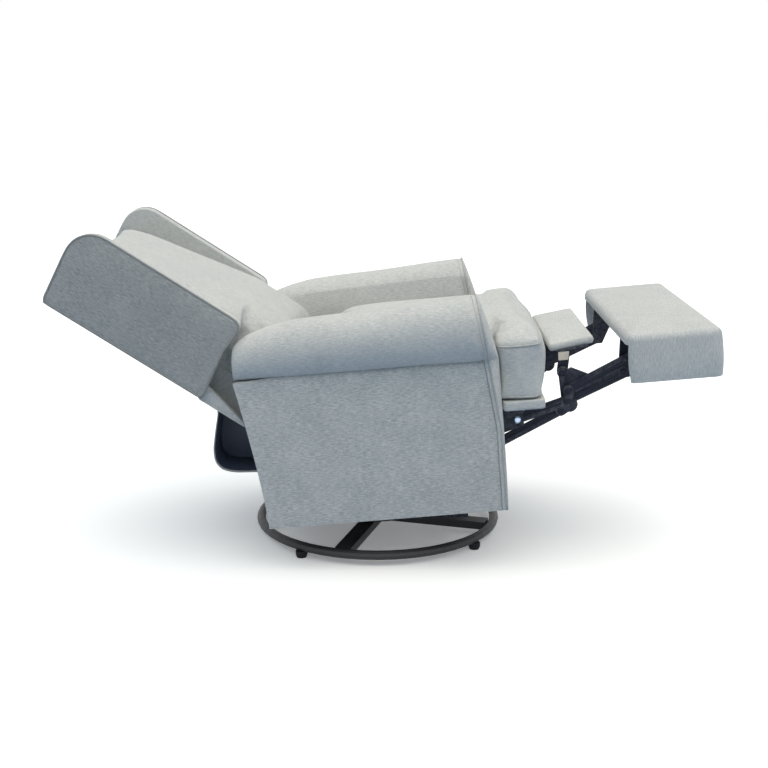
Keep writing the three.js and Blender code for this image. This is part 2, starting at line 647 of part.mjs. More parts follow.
// Rails, springs, deck pad, front band and cushion of the seat, and the dust flap behind it
function makeSeat() {
  const railTop = SEAT.bandLow - GAP;
  const railLow = railTop - SEAT_RAIL.depth;
  const { length, shelfEnd, half: railHalf, shelfHalf } = SEAT_RAIL;
  const rail = (x) => block(x, x + length, -railHalf, railHalf, railLow, railTop);
  const shelf = block(SEAT_RAIL.front, shelfEnd, -shelfHalf, shelfHalf, railLow, railTop);
  add(level, "seat_front_rail", join(rail(SEAT_RAIL.front), shelf), MATERIAL.wood);
  add(level, "seat_rear_rail", rail(SEAT_RAIL.rear), MATERIAL.wood);
  const cross = LAYER.plate + SHEET;
  const { thick, rearX, frontX, rearLow, rearHigh, frontLow, frontHigh } = CROSS_RAIL;
  const reach = ARM.inner + ARM.skin;
  add(
    level, "rear_cross_rail", block(rearX, -FRAME.rear - GAP, -reach, reach, rearLow, rearHigh),
    MATERIAL.wood,
  );
  add(
    level, "front_cross_rail", block(frontX, frontX + thick, -cross, cross, frontLow, frontHigh),
    MATERIAL.wood,
  );

  // Sinuous springs, clipped to the rails at both ends
  const from = SEAT_RAIL.rear + SPRING.clip / 2;
  const to = SEAT_RAIL.front + SPRING.clip;
  const height = DECK.low + SPRING.wire / 2;
  const clips = [from, to].map((x) => block(
    x - SPRING.clip / 2, x + SPRING.clip / 2, -SPRING.clipHalf, SPRING.clipHalf, DECK.low,
    DECK.low + SPRING.wire,
  ));
  const wires = [];
  for (let row = 0; row < SPRING.rows; row++) {
    const middle = (row - (SPRING.rows - 1) / 2) * SPRING.spread;
    const points = [];
    const count = SPRING.waves * 2;
    for (let k = 0; k <= count; k++) {
      const swing = k === 0 || k === count ? 0 : (k % 2 ? 1 : -1) * SPRING.swing;
      points.push(new THREE.Vector3(from + ((to - from) * k) / count, middle + swing, height));
    }
    const half = SPRING.wire / 2;
    const corners = [[-half, -half], [half, -half], [half, half], [-half, half]];
    const section = new THREE.Shape(corners.map(([a, b]) => new THREE.Vector2(a, b)));
    const path = new THREE.CatmullRomCurve3(points);
    wires.push(toSolid(new THREE.ExtrudeGeometry(
      section, { steps: SPRING.steps, bevelEnabled: false, extrudePath: path },
    )));
  }
  add(level, "seat_springs", join(...clips, ...wires), MATERIAL.spring);

  const padTop = SEAT.low - GAP;
  const padHalf = LAYER.plate - GAP;
  add(
    level, "deck_pad", block(DECK.rear, SEAT.waist - GAP, -padHalf, padHalf, DECK.padLow, padTop),
    MATERIAL.lining,
  );
  const bandHalf = SEAT.wide - GAP;
  const band = roundedBox(SEAT.waist, SEAT.front - SEAT.drawIn, -bandHalf, bandHalf, SEAT.round);
  const bandMiddle = [(SEAT.waist + SEAT.front) / 2, 0];
  add(level, "seat_front_band", padded({
    outline: band, centre: bandMiddle, low: () => SEAT.bandLow, high: () => padTop,
    place: (a, b, c) => [a, b, c], rings: 1, rows: 2,
  }), MATERIAL.fabric);

  const outline = teeOutline({
    foot: SEAT.rear, waist: SEAT.waist, top: SEAT.front, half: SEAT.half, wide: SEAT.wide, radius: SEAT.round,
  });
  add(level, "seat_cushion", padded({
    outline, centre: [0, SEAT.waist + SEAT.round], low: () => SEAT.low, high: () => SEAT.seam,
    crownHigh: SEAT.crown, drawIn: SEAT.drawIn, place: (a, b, c) => [b, a, c], rings: 6, rows: 3,
  }), MATERIAL.fabric);
}

// Loose fabric behind the chair, from the outer back down and under to the rear cross rail
function makeFlap() {
  const line = FLAP.route;
  const half = FLAP.sheet / 2;
  const offset = (side) => line.map(([x, z], k) => {
    const before = line[Math.max(0, k - 1)];
    const after = line[Math.min(line.length - 1, k + 1)];
    const length = Math.hypot(after[0] - before[0], after[1] - before[1]);
    return [
      x - (side * half * (after[1] - before[1])) / length,
      z + (side * half * (after[0] - before[0])) / length,
    ];
  });
  add(
    level, "dust_flap", plate([...offset(-1), ...offset(1).reverse()], -FLAP.half, FLAP.half),
    MATERIAL.fabric,
  );
}

// The back: board with posts, cushion, wings, outer panel and hinge brackets
function makeBack() {
  const panelRear = -BACK.rear;
  const boardRear = panelRear + BACK.panel + GAP;
  const boardFront = boardRear + BACK.board;
  const postFront = BACK.frameFront;
  const wide = BACK.wide + GAP;
  const inner = BACK.frameHalf - BACK.post;
  const posts = SIDES.map(({ sign }) => block(
    boardRear, postFront, sign * inner, sign * BACK.frameHalf, BACK.boardFoot, BACK.top - BACK.post,
  ));
  const rails = [
    BACK.boardFoot, BACK.top - 2 * BACK.post,
  ].map((low) => block(boardRear, postFront, -inner, inner, low, low + BACK.post));
  const lower = block(
    boardRear, boardFront, -BACK.frameHalf, BACK.frameHalf, BACK.boardFoot, BACK.waist + BACK.post,
  );
  const upper = block(boardRear, boardFront, -BACK.wide, BACK.wide, BACK.waist, BACK.top - BACK.post / 2);
  add(back, "back_frame", join(lower, upper, ...posts, ...rails), MATERIAL.wood);

  const panelLow = block(
    panelRear, panelRear + BACK.panel, -BACK.panelHalf, BACK.panelHalf, BACK.panelFoot,
    BACK.waist - BACK.panel,
  );
  const panelHigh = block(panelRear, panelRear + BACK.panel, -BACK.wide, BACK.wide, BACK.panelFoot, BACK.top);
  add(back, "back_outer_panel", join(panelLow, panelHigh), MATERIAL.fabric);

  const outline = teeOutline({
    foot: BACK.foot, waist: BACK.waist, top: BACK.top, half: BACK.half, wide: BACK.wide, radius: BACK.round,
  });
  const slope = (BACK.face - BACK.topFace) / (BACK.top - BACK.waist);
  const face = (u) => BACK.face - slope * Math.max(0, u - BACK.waist);
  add(back, "back_cushion", padded({
    outline, centre: [0, BACK.waist + BACK.post], low: () => postFront + GAP, high: (a, b) => face(b),
    crownHigh: BACK.crown, drawIn: BACK.drawIn, place: (a, b, c) => [c, a, b], rings: 6, rows: 3,
  }), MATERIAL.fabric);

  SIDES.forEach(({ name, sign }) => {
    const y = (distance) => sign * distance;
    const { rear, front, foot, rise, top, corner, lift } = WING;
    const edge = [[-rear, foot - lift], [-rear, top - lift], [0, top]];
    for (let k = 0; k <= WING.steps; k++) {
      const angle = QUARTER * (1 - k / WING.steps);
      edge.push([front - corner + corner * Math.cos(angle), top - corner + corner * Math.sin(angle)]);
    }
    edge.push([front, (foot + top) / 2], [front, foot], [0, foot + rise]);
    const filled = subdivide(edge, corner);
    const shape = padded({
      outline: filled, centre: [(front - rear) / 2, (foot + top) / 2], low: () => BACK.wide + GAP,
      high: () => WING.outer - WING.crown, crownHigh: WING.crown, drawIn: -WING.edge,
      place: (a, b, c) => [a, y(c), b], rings: 4, rows: 3,
    });
    add(back, "wing_" + name, shape, MATERIAL.fabric);

    const bracketIn = BACK.frameHalf + GAP;
    const [from, to] = [y(bracketIn), y(bracketIn + SHEET)];
    const post = [(boardFront + postFront) / 2, 0];
    const radius = BAR_RADIUS.bracket;
    const arm = strap([0, 0], post, radius, from, to);
    const upright = strap(post, [post[0], BACK.bracket], radius, from, to);
    const pin = rod([0, 0], PIN, from, y(LAYER.plate + SHEET));
    add(back, "back_bracket_" + name, join(arm, upright, pin), MATERIAL.mechanism);
  });
}

// Footrest: torque tube, cranks, links, ottoman and flipper
function makeFootrest() {
  const bore = (place, from) => rod(place, PIN + PLAY, from - OVERRUN, from + SHEET + OVERRUN);
  const flipperArms = [];
  const torqueParts = [rod(PIVOT.torque, TORQUE_TUBE.radius, -LAYER.crank, LAYER.crank)];
  SIDES.forEach(({ name, sign }) => {
    const y = (distance) => sign * distance;
    const hole = (place, layer) => {
      const shape = bore(place, layer);
      return sign > 0 ? shape : shape.mirror([0, 1, 0]);
    };
    const link = (from, to, radius, layer) => strap(from, to, radius, y(layer), y(layer + SHEET));
    const pin = (place, from, to) => rod(place, PIN, y(from), y(to));
    const { crank, knee, control, ottoman, guide, drive, flipper, torque, arm } = PIVOT;
    const { heel } = KNEE;
    const boss = (place, radius, layer) => rod(place, radius, y(layer), y(layer + SHEET));

    const crankPlate = join(
      link(crank, knee, BAR_RADIUS.crank, LAYER.crank), link(heel, control, BAR_RADIUS.crank, LAYER.crank),
      link(drive, heel, BAR_RADIUS.crank, LAYER.crank), boss(heel, BAR_RADIUS.knee, LAYER.crank),
      pin(crank, LAYER.crank, LAYER.plate + SHEET),
    );
    const crankHoles = [knee, control, drive].map((place) => hole(place, LAYER.crank));
    add(level, "footrest_crank_" + name, cut(crankPlate, ...crankHoles), MATERIAL.mechanism);

    const front = join(
      link(knee, ottoman, BAR_RADIUS.front, LAYER.front), link(knee, flipper, BAR_RADIUS.neck, LAYER.front),
      boss(flipper, BAR_RADIUS.pivotLug, LAYER.front), pin(knee, LAYER.front, LAYER.crank + SHEET),
      plate([knee, ...KNEE.web.toReversed(), flipper], y(LAYER.front), y(LAYER.front + SHEET)),
    );
    const frontHoles = [ottoman, flipper].map((place) => hole(place, LAYER.front));
    add(level, "front_link_" + name, cut(front, ...frontHoles), MATERIAL.mechanism);

    const controlLink = join(
      link(control, guide, BAR_RADIUS.control, LAYER.drive), pin(control, LAYER.drive, LAYER.crank + SHEET),
    );
    add(level, "control_link_" + name, cut(controlLink, hole(guide, LAYER.drive)), MATERIAL.mechanism);
    const driveLink = join(
      link(arm, drive, BAR_RADIUS.drive, LAYER.drive), pin(drive, LAYER.drive, LAYER.crank + SHEET),
    );
    add(level, "drive_link_" + name, cut(driveLink, hole(arm, LAYER.drive)), MATERIAL.mechanism);

    torqueParts.push(
      link(torque, arm, BAR_RADIUS.torque, LAYER.crank), pin(torque, LAYER.crank, LAYER.plate + SHEET),
    );

    const boardLow = OTTOMAN.seam - GAP;
    const flangeLow = boardLow - SHEET;
    const foot = ottoman[1] - BAR_RADIUS.bracket;
    const bracket = [
      [ottoman[0] - BAR_RADIUS.bracket, foot], [ottoman[0] + BAR_RADIUS.bracket, foot],
      [guide[0] + OTTOMAN.bracket / 2, boardLow - SHEET / 2],
      [guide[0] - BAR_RADIUS.bracket, boardLow - SHEET / 2],
    ];
    const flange = block(
      guide[0] - BAR_RADIUS.bracket, guide[0] + OTTOMAN.bracket, y(LAYER.bracket - OTTOMAN.flange),
      y(LAYER.bracket + SHEET), flangeLow, boardLow,
    );
    const ottomanBracket = join(
      plate(bracket, y(LAYER.bracket), y(LAYER.bracket + SHEET)), flange,
      pin(ottoman, LAYER.bracket, LAYER.front + SHEET),
    );
    add(level, "ottoman_bracket_" + name, ottomanBracket, MATERIAL.mechanism);

    flipperArms.push(
      link(flipper, FLIPPER.arm, BAR_RADIUS.flipper, LAYER.flipper),
      pin(flipper, LAYER.flipper, LAYER.front + SHEET),
    );
  });
  add(level, "torque_tube", join(...torqueParts), MATERIAL.mechanism);

  const { rear, front, half, low, seam, top, skirt, board, bulge } = OTTOMAN;
  const inset = skirt + GAP;
  add(
    level, "ottoman_board",
    block(rear + skirt, front - inset, -half + inset, half - inset, seam, seam + board), MATERIAL.wood,
  );
  const outline = roundedBox(rear, front, -half, half, OTTOMAN.round, 3, 5);
  const outer = padded({
    outline, centre: [(rear + front) / 2, 0], low: () => low, high: () => seam, crownHigh: top - seam,
    drawIn: -bulge, place: (a, b, c) => [a, b, c], rings: 5, rows: 3, power: OTTOMAN.power,
  });
  const hollow = block(
    rear - OTTOMAN.round, front - skirt, -half + skirt, half - skirt, low - OVERRUN, seam + board + GAP,
  );
  add(level, "ottoman_cover", cut(outer, hollow), MATERIAL.fabric);

  const slope = radians(FLIPPER.slope);
  const turned = ([x, z]) => [
    FLIPPER.centre[0] + x * Math.cos(slope) - z * Math.sin(slope),
    FLIPPER.centre[1] + x * Math.sin(slope) + z * Math.cos(slope),
  ];
  const halfLength = FLIPPER.length / 2;
  const underside = -FLIPPER.thick / 2;
  const sheetEnd = LAYER.flipper + SHEET;
  const reach = halfLength - FLIPPER.inset;
  const sheetTop = underside + SHEET;
  const section = [[-reach, underside], [reach, underside], [reach, sheetTop], [-reach, sheetTop]];
  const sheet = plate(section.map(turned), -sheetEnd, sheetEnd);
  add(level, "flipper_bracket", join(sheet, ...flipperArms), MATERIAL.mechanism);
  const padOutline = roundedBox(-halfLength, halfLength, -FLIPPER.half, FLIPPER.half, FLIPPER.round, 3, 4);
  const seamOut = FLIPPER.thick / 2 - FLIPPER.crown;
  const place = (a, b, c) => {
    const [x, z] = turned([a, c]);
    return [x, b, z];
  };
  add(level, "flipper_pad", padded({
    outline: padOutline, centre: [0, 0], low: () => underside + SHEET + GAP, high: () => seamOut,
    crownHigh: FLIPPER.crown, drawIn: -FLIPPER.edge, place, rings: 4, rows: 3,
  }), MATERIAL.fabric);
}

makeGlider(makeBase());
makeMechanismPlates();
makeArms();
makeSeat();
makeFlap();
makeBack();
makeFootrest();

// The origin is the middle of the footprint, on the floor
root.updateMatrixWorld(true);
const whole = new THREE.Box3().setFromObject(root, true);
const middle = whole.getCenter(new THREE.Vector3());
root.position.set(-middle.x, -middle.y, -whole.min.z);

const recliner = new THREE.Group();
recliner.add(root);
export default recliner;
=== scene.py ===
"""A swivel glider recliner, lying back with its footrest out: covers, welts, fasteners, finishes, studio."""

import math

import bpy
import numpy as np
from bpy.props import FloatProperty, FloatVectorProperty, IntProperty, PointerProperty
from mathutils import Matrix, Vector
from mathutils.bvhtree import BVHTree
from mathutils.kdtree import KDTree


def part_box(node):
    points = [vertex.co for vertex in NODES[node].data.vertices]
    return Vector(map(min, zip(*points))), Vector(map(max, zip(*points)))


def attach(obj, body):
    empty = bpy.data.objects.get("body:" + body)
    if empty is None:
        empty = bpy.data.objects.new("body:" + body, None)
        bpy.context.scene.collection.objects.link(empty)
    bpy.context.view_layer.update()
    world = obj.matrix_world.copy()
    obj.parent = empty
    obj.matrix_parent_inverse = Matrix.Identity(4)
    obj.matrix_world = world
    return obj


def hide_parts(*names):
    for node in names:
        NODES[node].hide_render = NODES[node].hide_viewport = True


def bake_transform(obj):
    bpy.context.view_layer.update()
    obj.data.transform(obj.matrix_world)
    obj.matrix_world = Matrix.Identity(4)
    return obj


bl_info = {
    "name": "Glider Recliner",
    "version": (1, 0, 0),
    "blender": (4, 5, 0),
    "location": "3D View > Sidebar > Recliner",
    "description": "Upholsters and finishes a swivel glider recliner on its packed frame",
    "category": "Add Mesh",
}

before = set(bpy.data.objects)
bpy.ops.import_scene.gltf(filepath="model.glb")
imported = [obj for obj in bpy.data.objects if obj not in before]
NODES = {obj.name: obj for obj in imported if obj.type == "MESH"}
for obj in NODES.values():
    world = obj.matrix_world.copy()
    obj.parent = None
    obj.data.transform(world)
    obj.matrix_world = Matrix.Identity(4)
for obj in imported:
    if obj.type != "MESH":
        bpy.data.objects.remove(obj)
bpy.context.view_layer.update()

MM = 0.001
SIDES = (("left", 1.0), ("right", -1.0))

# The chair's level frame is tilted about the platform's axle, and the back's frame about its hinge
SWIVEL_LOW, SWIVEL_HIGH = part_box("bearing_lower_race")
AXLE = ((SWIVEL_LOW.x + SWIVEL_HIGH.x) / 2, 0.135)
TILT = math.radians(5.0)
HINGE = (-0.160, 0.443)
LEAN = math.radians(52.4)

# Sizes of the covers, in millimetres in the chair's level frame, and in the back's own frame for the back
# and the wings
SEAT = {
    "rear": -82, "front": 420, "waist": 318, "half": 243, "wide": 335, "low": 388, "seam": 519, "crown": 46,
    "round": 14, "belly": 15, "draw_in": 6, "clear": 1, "seam_drop": 2, "seam_rise": 5,
}
CUSHION = {"give": 6, "rings": 18, "rows": 10}
# The seat's seams, in metres: how they are pressed in and puckered, and the radius of their welt
SEAM = {
    "step": 0.006, "fine": 0.002, "depth": 0.0022, "width": 0.006, "pucker": 0.0009, "pitch": 0.034,
    "welt": 0.0022,
}
BAND = {"low": 366, "front": 415, "half": 334, "clear": 0.4, "bulge": 1.0}
DECK = {
    "rear": -165, "front": 317, "middle": 76, "low": 372, "high": 386, "crown": 1.4, "round": 10,
    "bulge": 0.3, "side_gap": 0.5,
}
ARM = {
    "floor": 130, "crease": 487, "inner": 246, "outer": 348, "front": 311, "foot": 252, "top": 299,
    "curve": 1.4, "seat": 390,
}
ARM_SIDE = {
    "rows": 40, "columns": 90, "crown": 4, "power": 0.6, "front_gap": 0.6, "under": 90, "leaning": 0.9,
    "inside": 13, "lap": 16, "rear_thin": 4, "rear_thick": 12, "rear_edge": ((0.5, 7), (3, 10)),
    "rear_start": 14, "rear_columns": (8, 6), "inside_columns": 30,
}
# How the side's cloth goes up under the roll; and its pleats: place along, length down, depth
CREASE_LIFTS = (2.5, 5.0, 6.5)
PLEATS = ((60, 40, 1.6), (92, 30, 1.3), (118, 26, 1.0), (236, 46, 1.4), (262, 30, 1.1), (-20, 34, 0.8))
PLEAT = {"wide": 3.2, "drift": 0.12, "reach": 1.6}
ROLL = {
    "centre": 312, "radius": 76, "slope": 14, "rear": 299, "rounding": 150, "anchor": 300, "start": -88,
    "end": 150, "gap": 0.3, "inner_thick": 14, "inner_rows": 12,
}
# The roll's rounded rear end: share of its length, share of its size
ROLL_END_SHARES = (
    (0, 0.36), (0.012, 0.50), (0.035, 0.61), (0.08, 0.69), (0.15, 0.755), (0.25, 0.82), (0.4, 0.88),
    (0.65, 0.95), (1, 1),
)
PANEL = {
    "pad": 12, "bulge": 20, "face": 317, "fall": 32, "lean": 36, "lean_from": 330, "welt_back": 1.5,
    "middle": 4, "foot_round": 7, "head_round": 4, "head_steps": 36,
}
BACK = {
    "foot": 25, "waist": 190, "top": 606, "half": 243, "wide": 289, "rear": 136, "panel": 6, "face": 52,
    "crown": 48, "top_face": -22, "panel_half": 300, "panel_foot": 58, "post_front": -75, "round": 18,
    "middle": 34, "draw_in": 4, "clear": 1, "panel_round": 5, "side_gap": 2,
}
WING = {
    "outer": 335, "foot": 191, "rise": 5, "top": 612, "rear": 125, "front": 76, "corner": 62, "crown": 7,
    "lift": 10, "gap": 0.4, "narrow": 16, "bulge": 3, "welt_back": 1.0, "corner_steps": 12,
}
WING_TOE = ((0, 16), (-5, 4), (-18, 0))
# Cloth on the back's sides: name, outline as (out of the face, up the back), and its two places across
BACK_SIDES = (
    ("side", ((-129.5, 2), (-58, 2), (-58, 190), (-129.5, 190)), 226, 239),
    ("edge", ((-129.5, 60), (-112, 128), (-97, 190), (-129.5, 190)), 284, 299),
    ("welt", ((-129.4, 191), (-124.6, 191), (-124.6, 600), (-129.4, 600)), 289.6, 299),
)
BACK_TOP = (
    (-129.6, 590.5), (-113.5, 590.5), (-112, 574.5), (-77, 574.5), (-77, 598), (-100, 604), (-129.6, 604),
)
OTTOMAN = {
    "rear": 607, "front": 829, "half": 337, "low": 407.5, "seam": 508, "top": 532, "skirt": 9, "bulge": 1.5,
    "round": 24, "edge": 20, "swell": 9, "lip": 497, "board": 8.3, "draw_in": 2.5, "past": (60, 20),
    "least_round": 8.0, "round_loss": 2.1, "power": 2.4, "top_rings": 13, "edge_rings": 8, "side_rings": 14,
    "columns": (24, 66),
}
# Folds in the ottoman's sides: how far in and over what length they fade, their depths, and their lengths
GATHERS = {
    "reach": 14, "fade": 12, "side": 0.9, "end": 0.7, "folds": (5.4, 17.0, 23.0), "ripple": (11.0, 41.0),
}
FLIPPER = {
    "x": 499, "z": 485, "slope": 7, "length": 104, "half": 193, "thick": 30, "round": 12, "crown": 9,
    "bulge": 3, "board_gap": 0.3,
}
FLIPPER_CLIP = ((465, 446), (489, 446), (492, 466), (466, 466))
FLIPPER_CLIP_DEPTHS = (0.2, 2.0)
FLAP_ROUTE = (
    (-374.7, 433.8), (-361.4, 423.6), (-356, 398), (-368, 354), (-380, 305), (-380, 273), (-365, 252),
    (-334, 243), (-283, 241), (-232, 241),
)
FLAP = {"half": 238, "columns": 60, "step": 6.0, "sag": 2.2, "half_thick": 1.2, "hem": 3, "folds": (38, 90)}
FLAP_BEND = ((-365, 0, 252), (-368, 0, 420))
# Sizes of the dark sheets inside the flap's ends, which paint the shade deep in the flap
FLAP_END = {"near": 120, "thick": 1.2, "spine": -258, "inset": 3.0, "clear": 4, "drop": 20}
SLAB = {"corner": 2.0, "edge": 1.2}

# Pivots of the footrest's links as (along, height), and how far out each layer of steel starts
PIVOT = {
    "crank": (355, 316), "knee": (477, 350), "control": (483, 375), "ottoman": (618, 406),
    "guide": (630, 440), "drive": (462, 327), "flipper": (473, 418), "torque": (197, 250),
    "arm": (292, 251),
}
LAYER = {"plate": 225, "crank": 219, "drive": 213, "front": 207, "flipper": 195}
SHEET = 4
# Heads: pivot, layer it sits on, body
HEADS = (
    ("crank", "plate", "chair_body"), ("knee", "crank", "cranks"), ("control", "crank", "cranks"),
    ("drive", "crank", "cranks"), ("torque", "plate", "chair_body"), ("ottoman", "front", "front_links"),
    ("flipper", "front", "front_links"), ("arm", "crank", "torque_tube"),
)
HEAD = {"bolt": 5.0, "rivet": 1.5, "gap": 0.1}
HEAD_SHARES = ((1.25, 0.25), (1, 0.3), (0.96, 0.85), (0.7, 1))
# Pressed ribs along the links: from, to, layer, body, width
RIBS = (
    ("crank", "knee", "crank", "cranks", 7.0), ("knee", "ottoman", "front", "front_links", 7.0),
    ("control", "guide", "drive", "control_links", 6.0), ("arm", "drive", "drive", "drive_links", 6.0),
)
RIB_END = 16
RIB_RISES = ((1.0, 0.05), (0.86, 0.8), (0.6, 1.3), (0.3, 1.5))

# The camera stands where the photographer stood
CAMERA = {"yaw": -0.48, "pitch": 13.42, "place": (0.0265, -3.1317, 1.1258), "sensor": 36.0}
# Lamps: name, direction it shines from, width in degrees, power setting, colour
LAMPS = (
    ("key_lamp", (0.06, -0.12, 1.0), 96.0, "key", (1.0, 0.945, 0.85)),
    ("fill_lamp", (0.15, -1.0, 0.35), 60.0, "fill", (0.80, 0.92, 1.0)),
)
SKY = (0.60, 0.80, 1.0, 1.0)
FLOOR_HALF = 30.0


class ClothSettings(bpy.types.PropertyGroup):
    pale: FloatVectorProperty(name="Pale thread", description="Colour of the pale threads",
                              subtype="COLOR", size=3, min=0, max=1, default=(0.72, 0.71, 0.665))
    deep: FloatVectorProperty(name="Deep thread", description="Colour of the deep threads",
                              subtype="COLOR", size=3, min=0, max=1, default=(0.42, 0.435, 0.435))
    lining: FloatVectorProperty(name="Lining", description="Colour of the dust cloth", subtype="COLOR",
                                size=3, min=0, max=1, default=(0.035, 0.046, 0.080))
    thread: FloatProperty(name="Thread", description="Width of one thread", default=0.0009,
                          subtype="DISTANCE", unit="LENGTH")
    slub: FloatProperty(name="Slub", description="Length of a thick place in a thread", default=0.013,
                        subtype="DISTANCE", unit="LENGTH")
    welt: FloatProperty(name="Welt", description="Radius of the welt cord in the seams", default=0.0028,
                        subtype="DISTANCE", unit="LENGTH")


class CushionSettings(bpy.types.PropertyGroup):
    voxel: FloatProperty(name="Voxel", description="Mesh size of a cushion before it is filled",
                         default=0.008, subtype="DISTANCE", unit="LENGTH")
    pressure: FloatProperty(name="Fill", description="Pressure of the filling", default=4.0)
    cap: FloatProperty(name="Swell", description="How far a cushion may swell", default=0.012,
                       subtype="DISTANCE", unit="LENGTH")
    frames: IntProperty(name="Frames", description="Steps of the filling", default=18, min=1)


class MetalSettings(bpy.types.PropertyGroup):
    steel: FloatVectorProperty(name="Mechanism", description="Colour of the mechanism's paint",
                               subtype="COLOR", size=3, min=0, max=1, default=(0.006, 0.008, 0.017))
    paint: FloatVectorProperty(name="Base paint", description="Colour of the base's paint",
                               subtype="COLOR", size=3, min=0, max=1, default=(0.010, 0.010, 0.012))
    bolt: FloatVectorProperty(name="Bolt", description="Colour of the bright bolts", subtype="COLOR",
                              size=3, min=0, max=1, default=(0.32, 0.42, 0.62))
    head: FloatProperty(name="Rivet head", description="Radius of a rivet's head", default=0.0075,
                        subtype="DISTANCE", unit="LENGTH")


class StudioSettings(bpy.types.PropertyGroup):
    floor: FloatVectorProperty(name="Floor", description="Colour of the floor", subtype="COLOR", size=3,
                               min=0, max=1, default=(0.95, 0.95, 0.945))
    glow: FloatProperty(name="Glow", description="How far the floor's shadows are lifted", default=0.21,
                        min=0, max=1)
    bounce: FloatVectorProperty(name="Bounce",
                                description="Colour of the light that the floor throws back",
                                subtype="COLOR", size=3, min=0, max=1, default=(0.30, 0.38, 0.50))
    lens: FloatProperty(name="Lens", description="Focal length of the camera", default=58.6,
                        subtype="DISTANCE_CAMERA", unit="CAMERA")
    key: FloatProperty(name="Key", description="Light that falls on a level surface from above",
                       default=1.0)
    fill: FloatProperty(name="Fill", description="Light from beside the camera", default=0.05)
    sky: FloatProperty(name="Sky", description="Strength of the light all round", default=0.36)


def settings(name):
    return getattr(bpy.context.scene, "recliner_" + name)


# Places: from millimetres in the level frame, or on the back or the flipper pad, to metres where they stand
def seat_place(points):
    points = np.asarray(points, float).reshape(-1, 3) * MM
    x, z = points[:, 0], points[:, 2] - AXLE[1]
    return np.column_stack((
        AXLE[0] + x * math.cos(TILT) - z * math.sin(TILT),
        points[:, 1],
        AXLE[1] + x * math.sin(TILT) + z * math.cos(TILT),
    ))


def back_place(points):
    """Places points given as (out of the back's face, across, up the back)."""
    points = np.asarray(points, float).reshape(-1, 3)
    out, up = points[:, 0], points[:, 2]
    x = HINGE[0] / MM + out * math.cos(LEAN) - up * math.sin(LEAN)
    z = HINGE[1] / MM + out * math.sin(LEAN) + up * math.cos(LEAN)
    return seat_place(np.column_stack((x, points[:, 1], z)))


def flipper_place(points):
    """Places points given as (along the pad, across, out of its face)."""
    points = np.asarray(points, float).reshape(-1, 3)
    slope = math.radians(FLIPPER["slope"])
    x = FLIPPER["x"] + points[:, 0] * math.cos(slope) - points[:, 2] * math.sin(slope)
    z = FLIPPER["z"] + points[:, 0] * math.sin(slope) + points[:, 2] * math.cos(slope)
    return seat_place(np.column_stack((x, points[:, 1], z)))


# Meshes
def new_mesh(name, points, faces, material):
    mesh = bpy.data.meshes.new(name)
    mesh.from_pydata([tuple(p) for p in points], [], faces)
    mesh.validate()
    mesh.update()
    piece = bpy.data.objects.new(name, mesh)
    bpy.context.scene.collection.objects.link(piece)
    piece.data.materials.append(material)
    mesh.polygons.foreach_set("use_smooth", np.ones(len(mesh.polygons), bool))
    face_out(piece)
    return piece


def face_out(piece):
    """Turns a closed mesh's faces outwards."""
    mesh = piece.data
    mesh.calc_loop_triangles()
    points = get_points(piece)
    corners = np.empty(len(mesh.loop_triangles) * 3, np.int32)
    mesh.loop_triangles.foreach_get("vertices", corners)
    a, b, c = (points[corners[k::3]] for k in range(3))
    if np.einsum("ij,ij->i", a, np.cross(b, c)).sum() < 0:
        mesh.flip_normals()


def get_points(piece):
    points = np.empty(len(piece.data.vertices) * 3, np.float32)
    piece.data.vertices.foreach_get("co", points)
    return points.reshape(-1, 3).astype(float)


def set_points(piece, points):
    piece.data.vertices.foreach_set("co", points.astype(np.float32).ravel())
    piece.data.update()


def get_normals(piece):
    normals = np.empty(len(piece.data.vertices) * 3, np.float32)
    piece.data.vertex_normals.foreach_get("vector", normals)
    return normals.reshape(-1, 3).astype(float)


def bake_modifiers(piece):
    """Makes what the modifiers show the piece's own mesh."""
    seen = piece.evaluated_get(bpy.context.evaluated_depsgraph_get())
    mesh = bpy.data.meshes.new_from_object(seen)
    old = piece.data
    piece.modifiers.clear()
    piece.data = mesh
    bpy.data.meshes.remove(old)
    mesh.name = piece.name
    mesh.polygons.foreach_set("use_smooth", np.ones(len(mesh.polygons), bool))
    return piece


def skin(rings, first=None, last=None):
    """Faces through rings of points, with an end point at each end."""
    count = len(rings[0])
    points = np.concatenate([np.asarray(ring, float) for ring in rings])
    faces = []
    for r in range(len(rings) - 1):
        for k in range(count):
            n = (k + 1) % count
            faces.append((r * count + k, r * count + n, (r + 1) * count + n, (r + 1) * count + k))
    for end, at in ((first, 0), (last, len(rings) - 1)):
        if end is None:
            continue
        points = np.vstack((points, end))
        tip = len(points) - 1
        for k in range(count):
            pair = (at * count + k, at * count + (k + 1) % count)
            faces.append((tip, *(pair[::-1] if at == 0 else pair)))
    return points, faces


def spread(outline, step):
    """A closed outline with points a step apart along it."""
    outline = np.asarray(outline, float)
    done = []
    for a, b in zip(outline, np.roll(outline, -1, axis=0)):
        parts = max(1, round(np.linalg.norm(b - a) / step))
        done.extend(a + (b - a) * i / parts for i in range(parts))
    return np.array(done)


def round_corners(outline, radius, steps=6):
    """A closed outline with its corners rounded; radius is one number or one for each corner."""
    outline = [np.array(p, float) for p in outline]
    radii = radius if isinstance(radius, (list, tuple)) else [radius] * len(outline)
    done = []
    for k, corner in enumerate(outline):
        before, after = outline[k - 1] - corner, outline[(k + 1) % len(outline)] - corner
        cut = min(radii[k], 0.48 * np.linalg.norm(before), 0.48 * np.linalg.norm(after))
        if cut <= 0:
            done.append(corner)
            continue
        start = corner + before / np.linalg.norm(before) * cut
        stop = corner + after / np.linalg.norm(after) * cut
        for i in range(steps + 1):
            t = i / steps
            done.append(start * (1 - t) ** 2 + 2 * corner * t * (1 - t) + stop * t * t)
    return np.array(done)


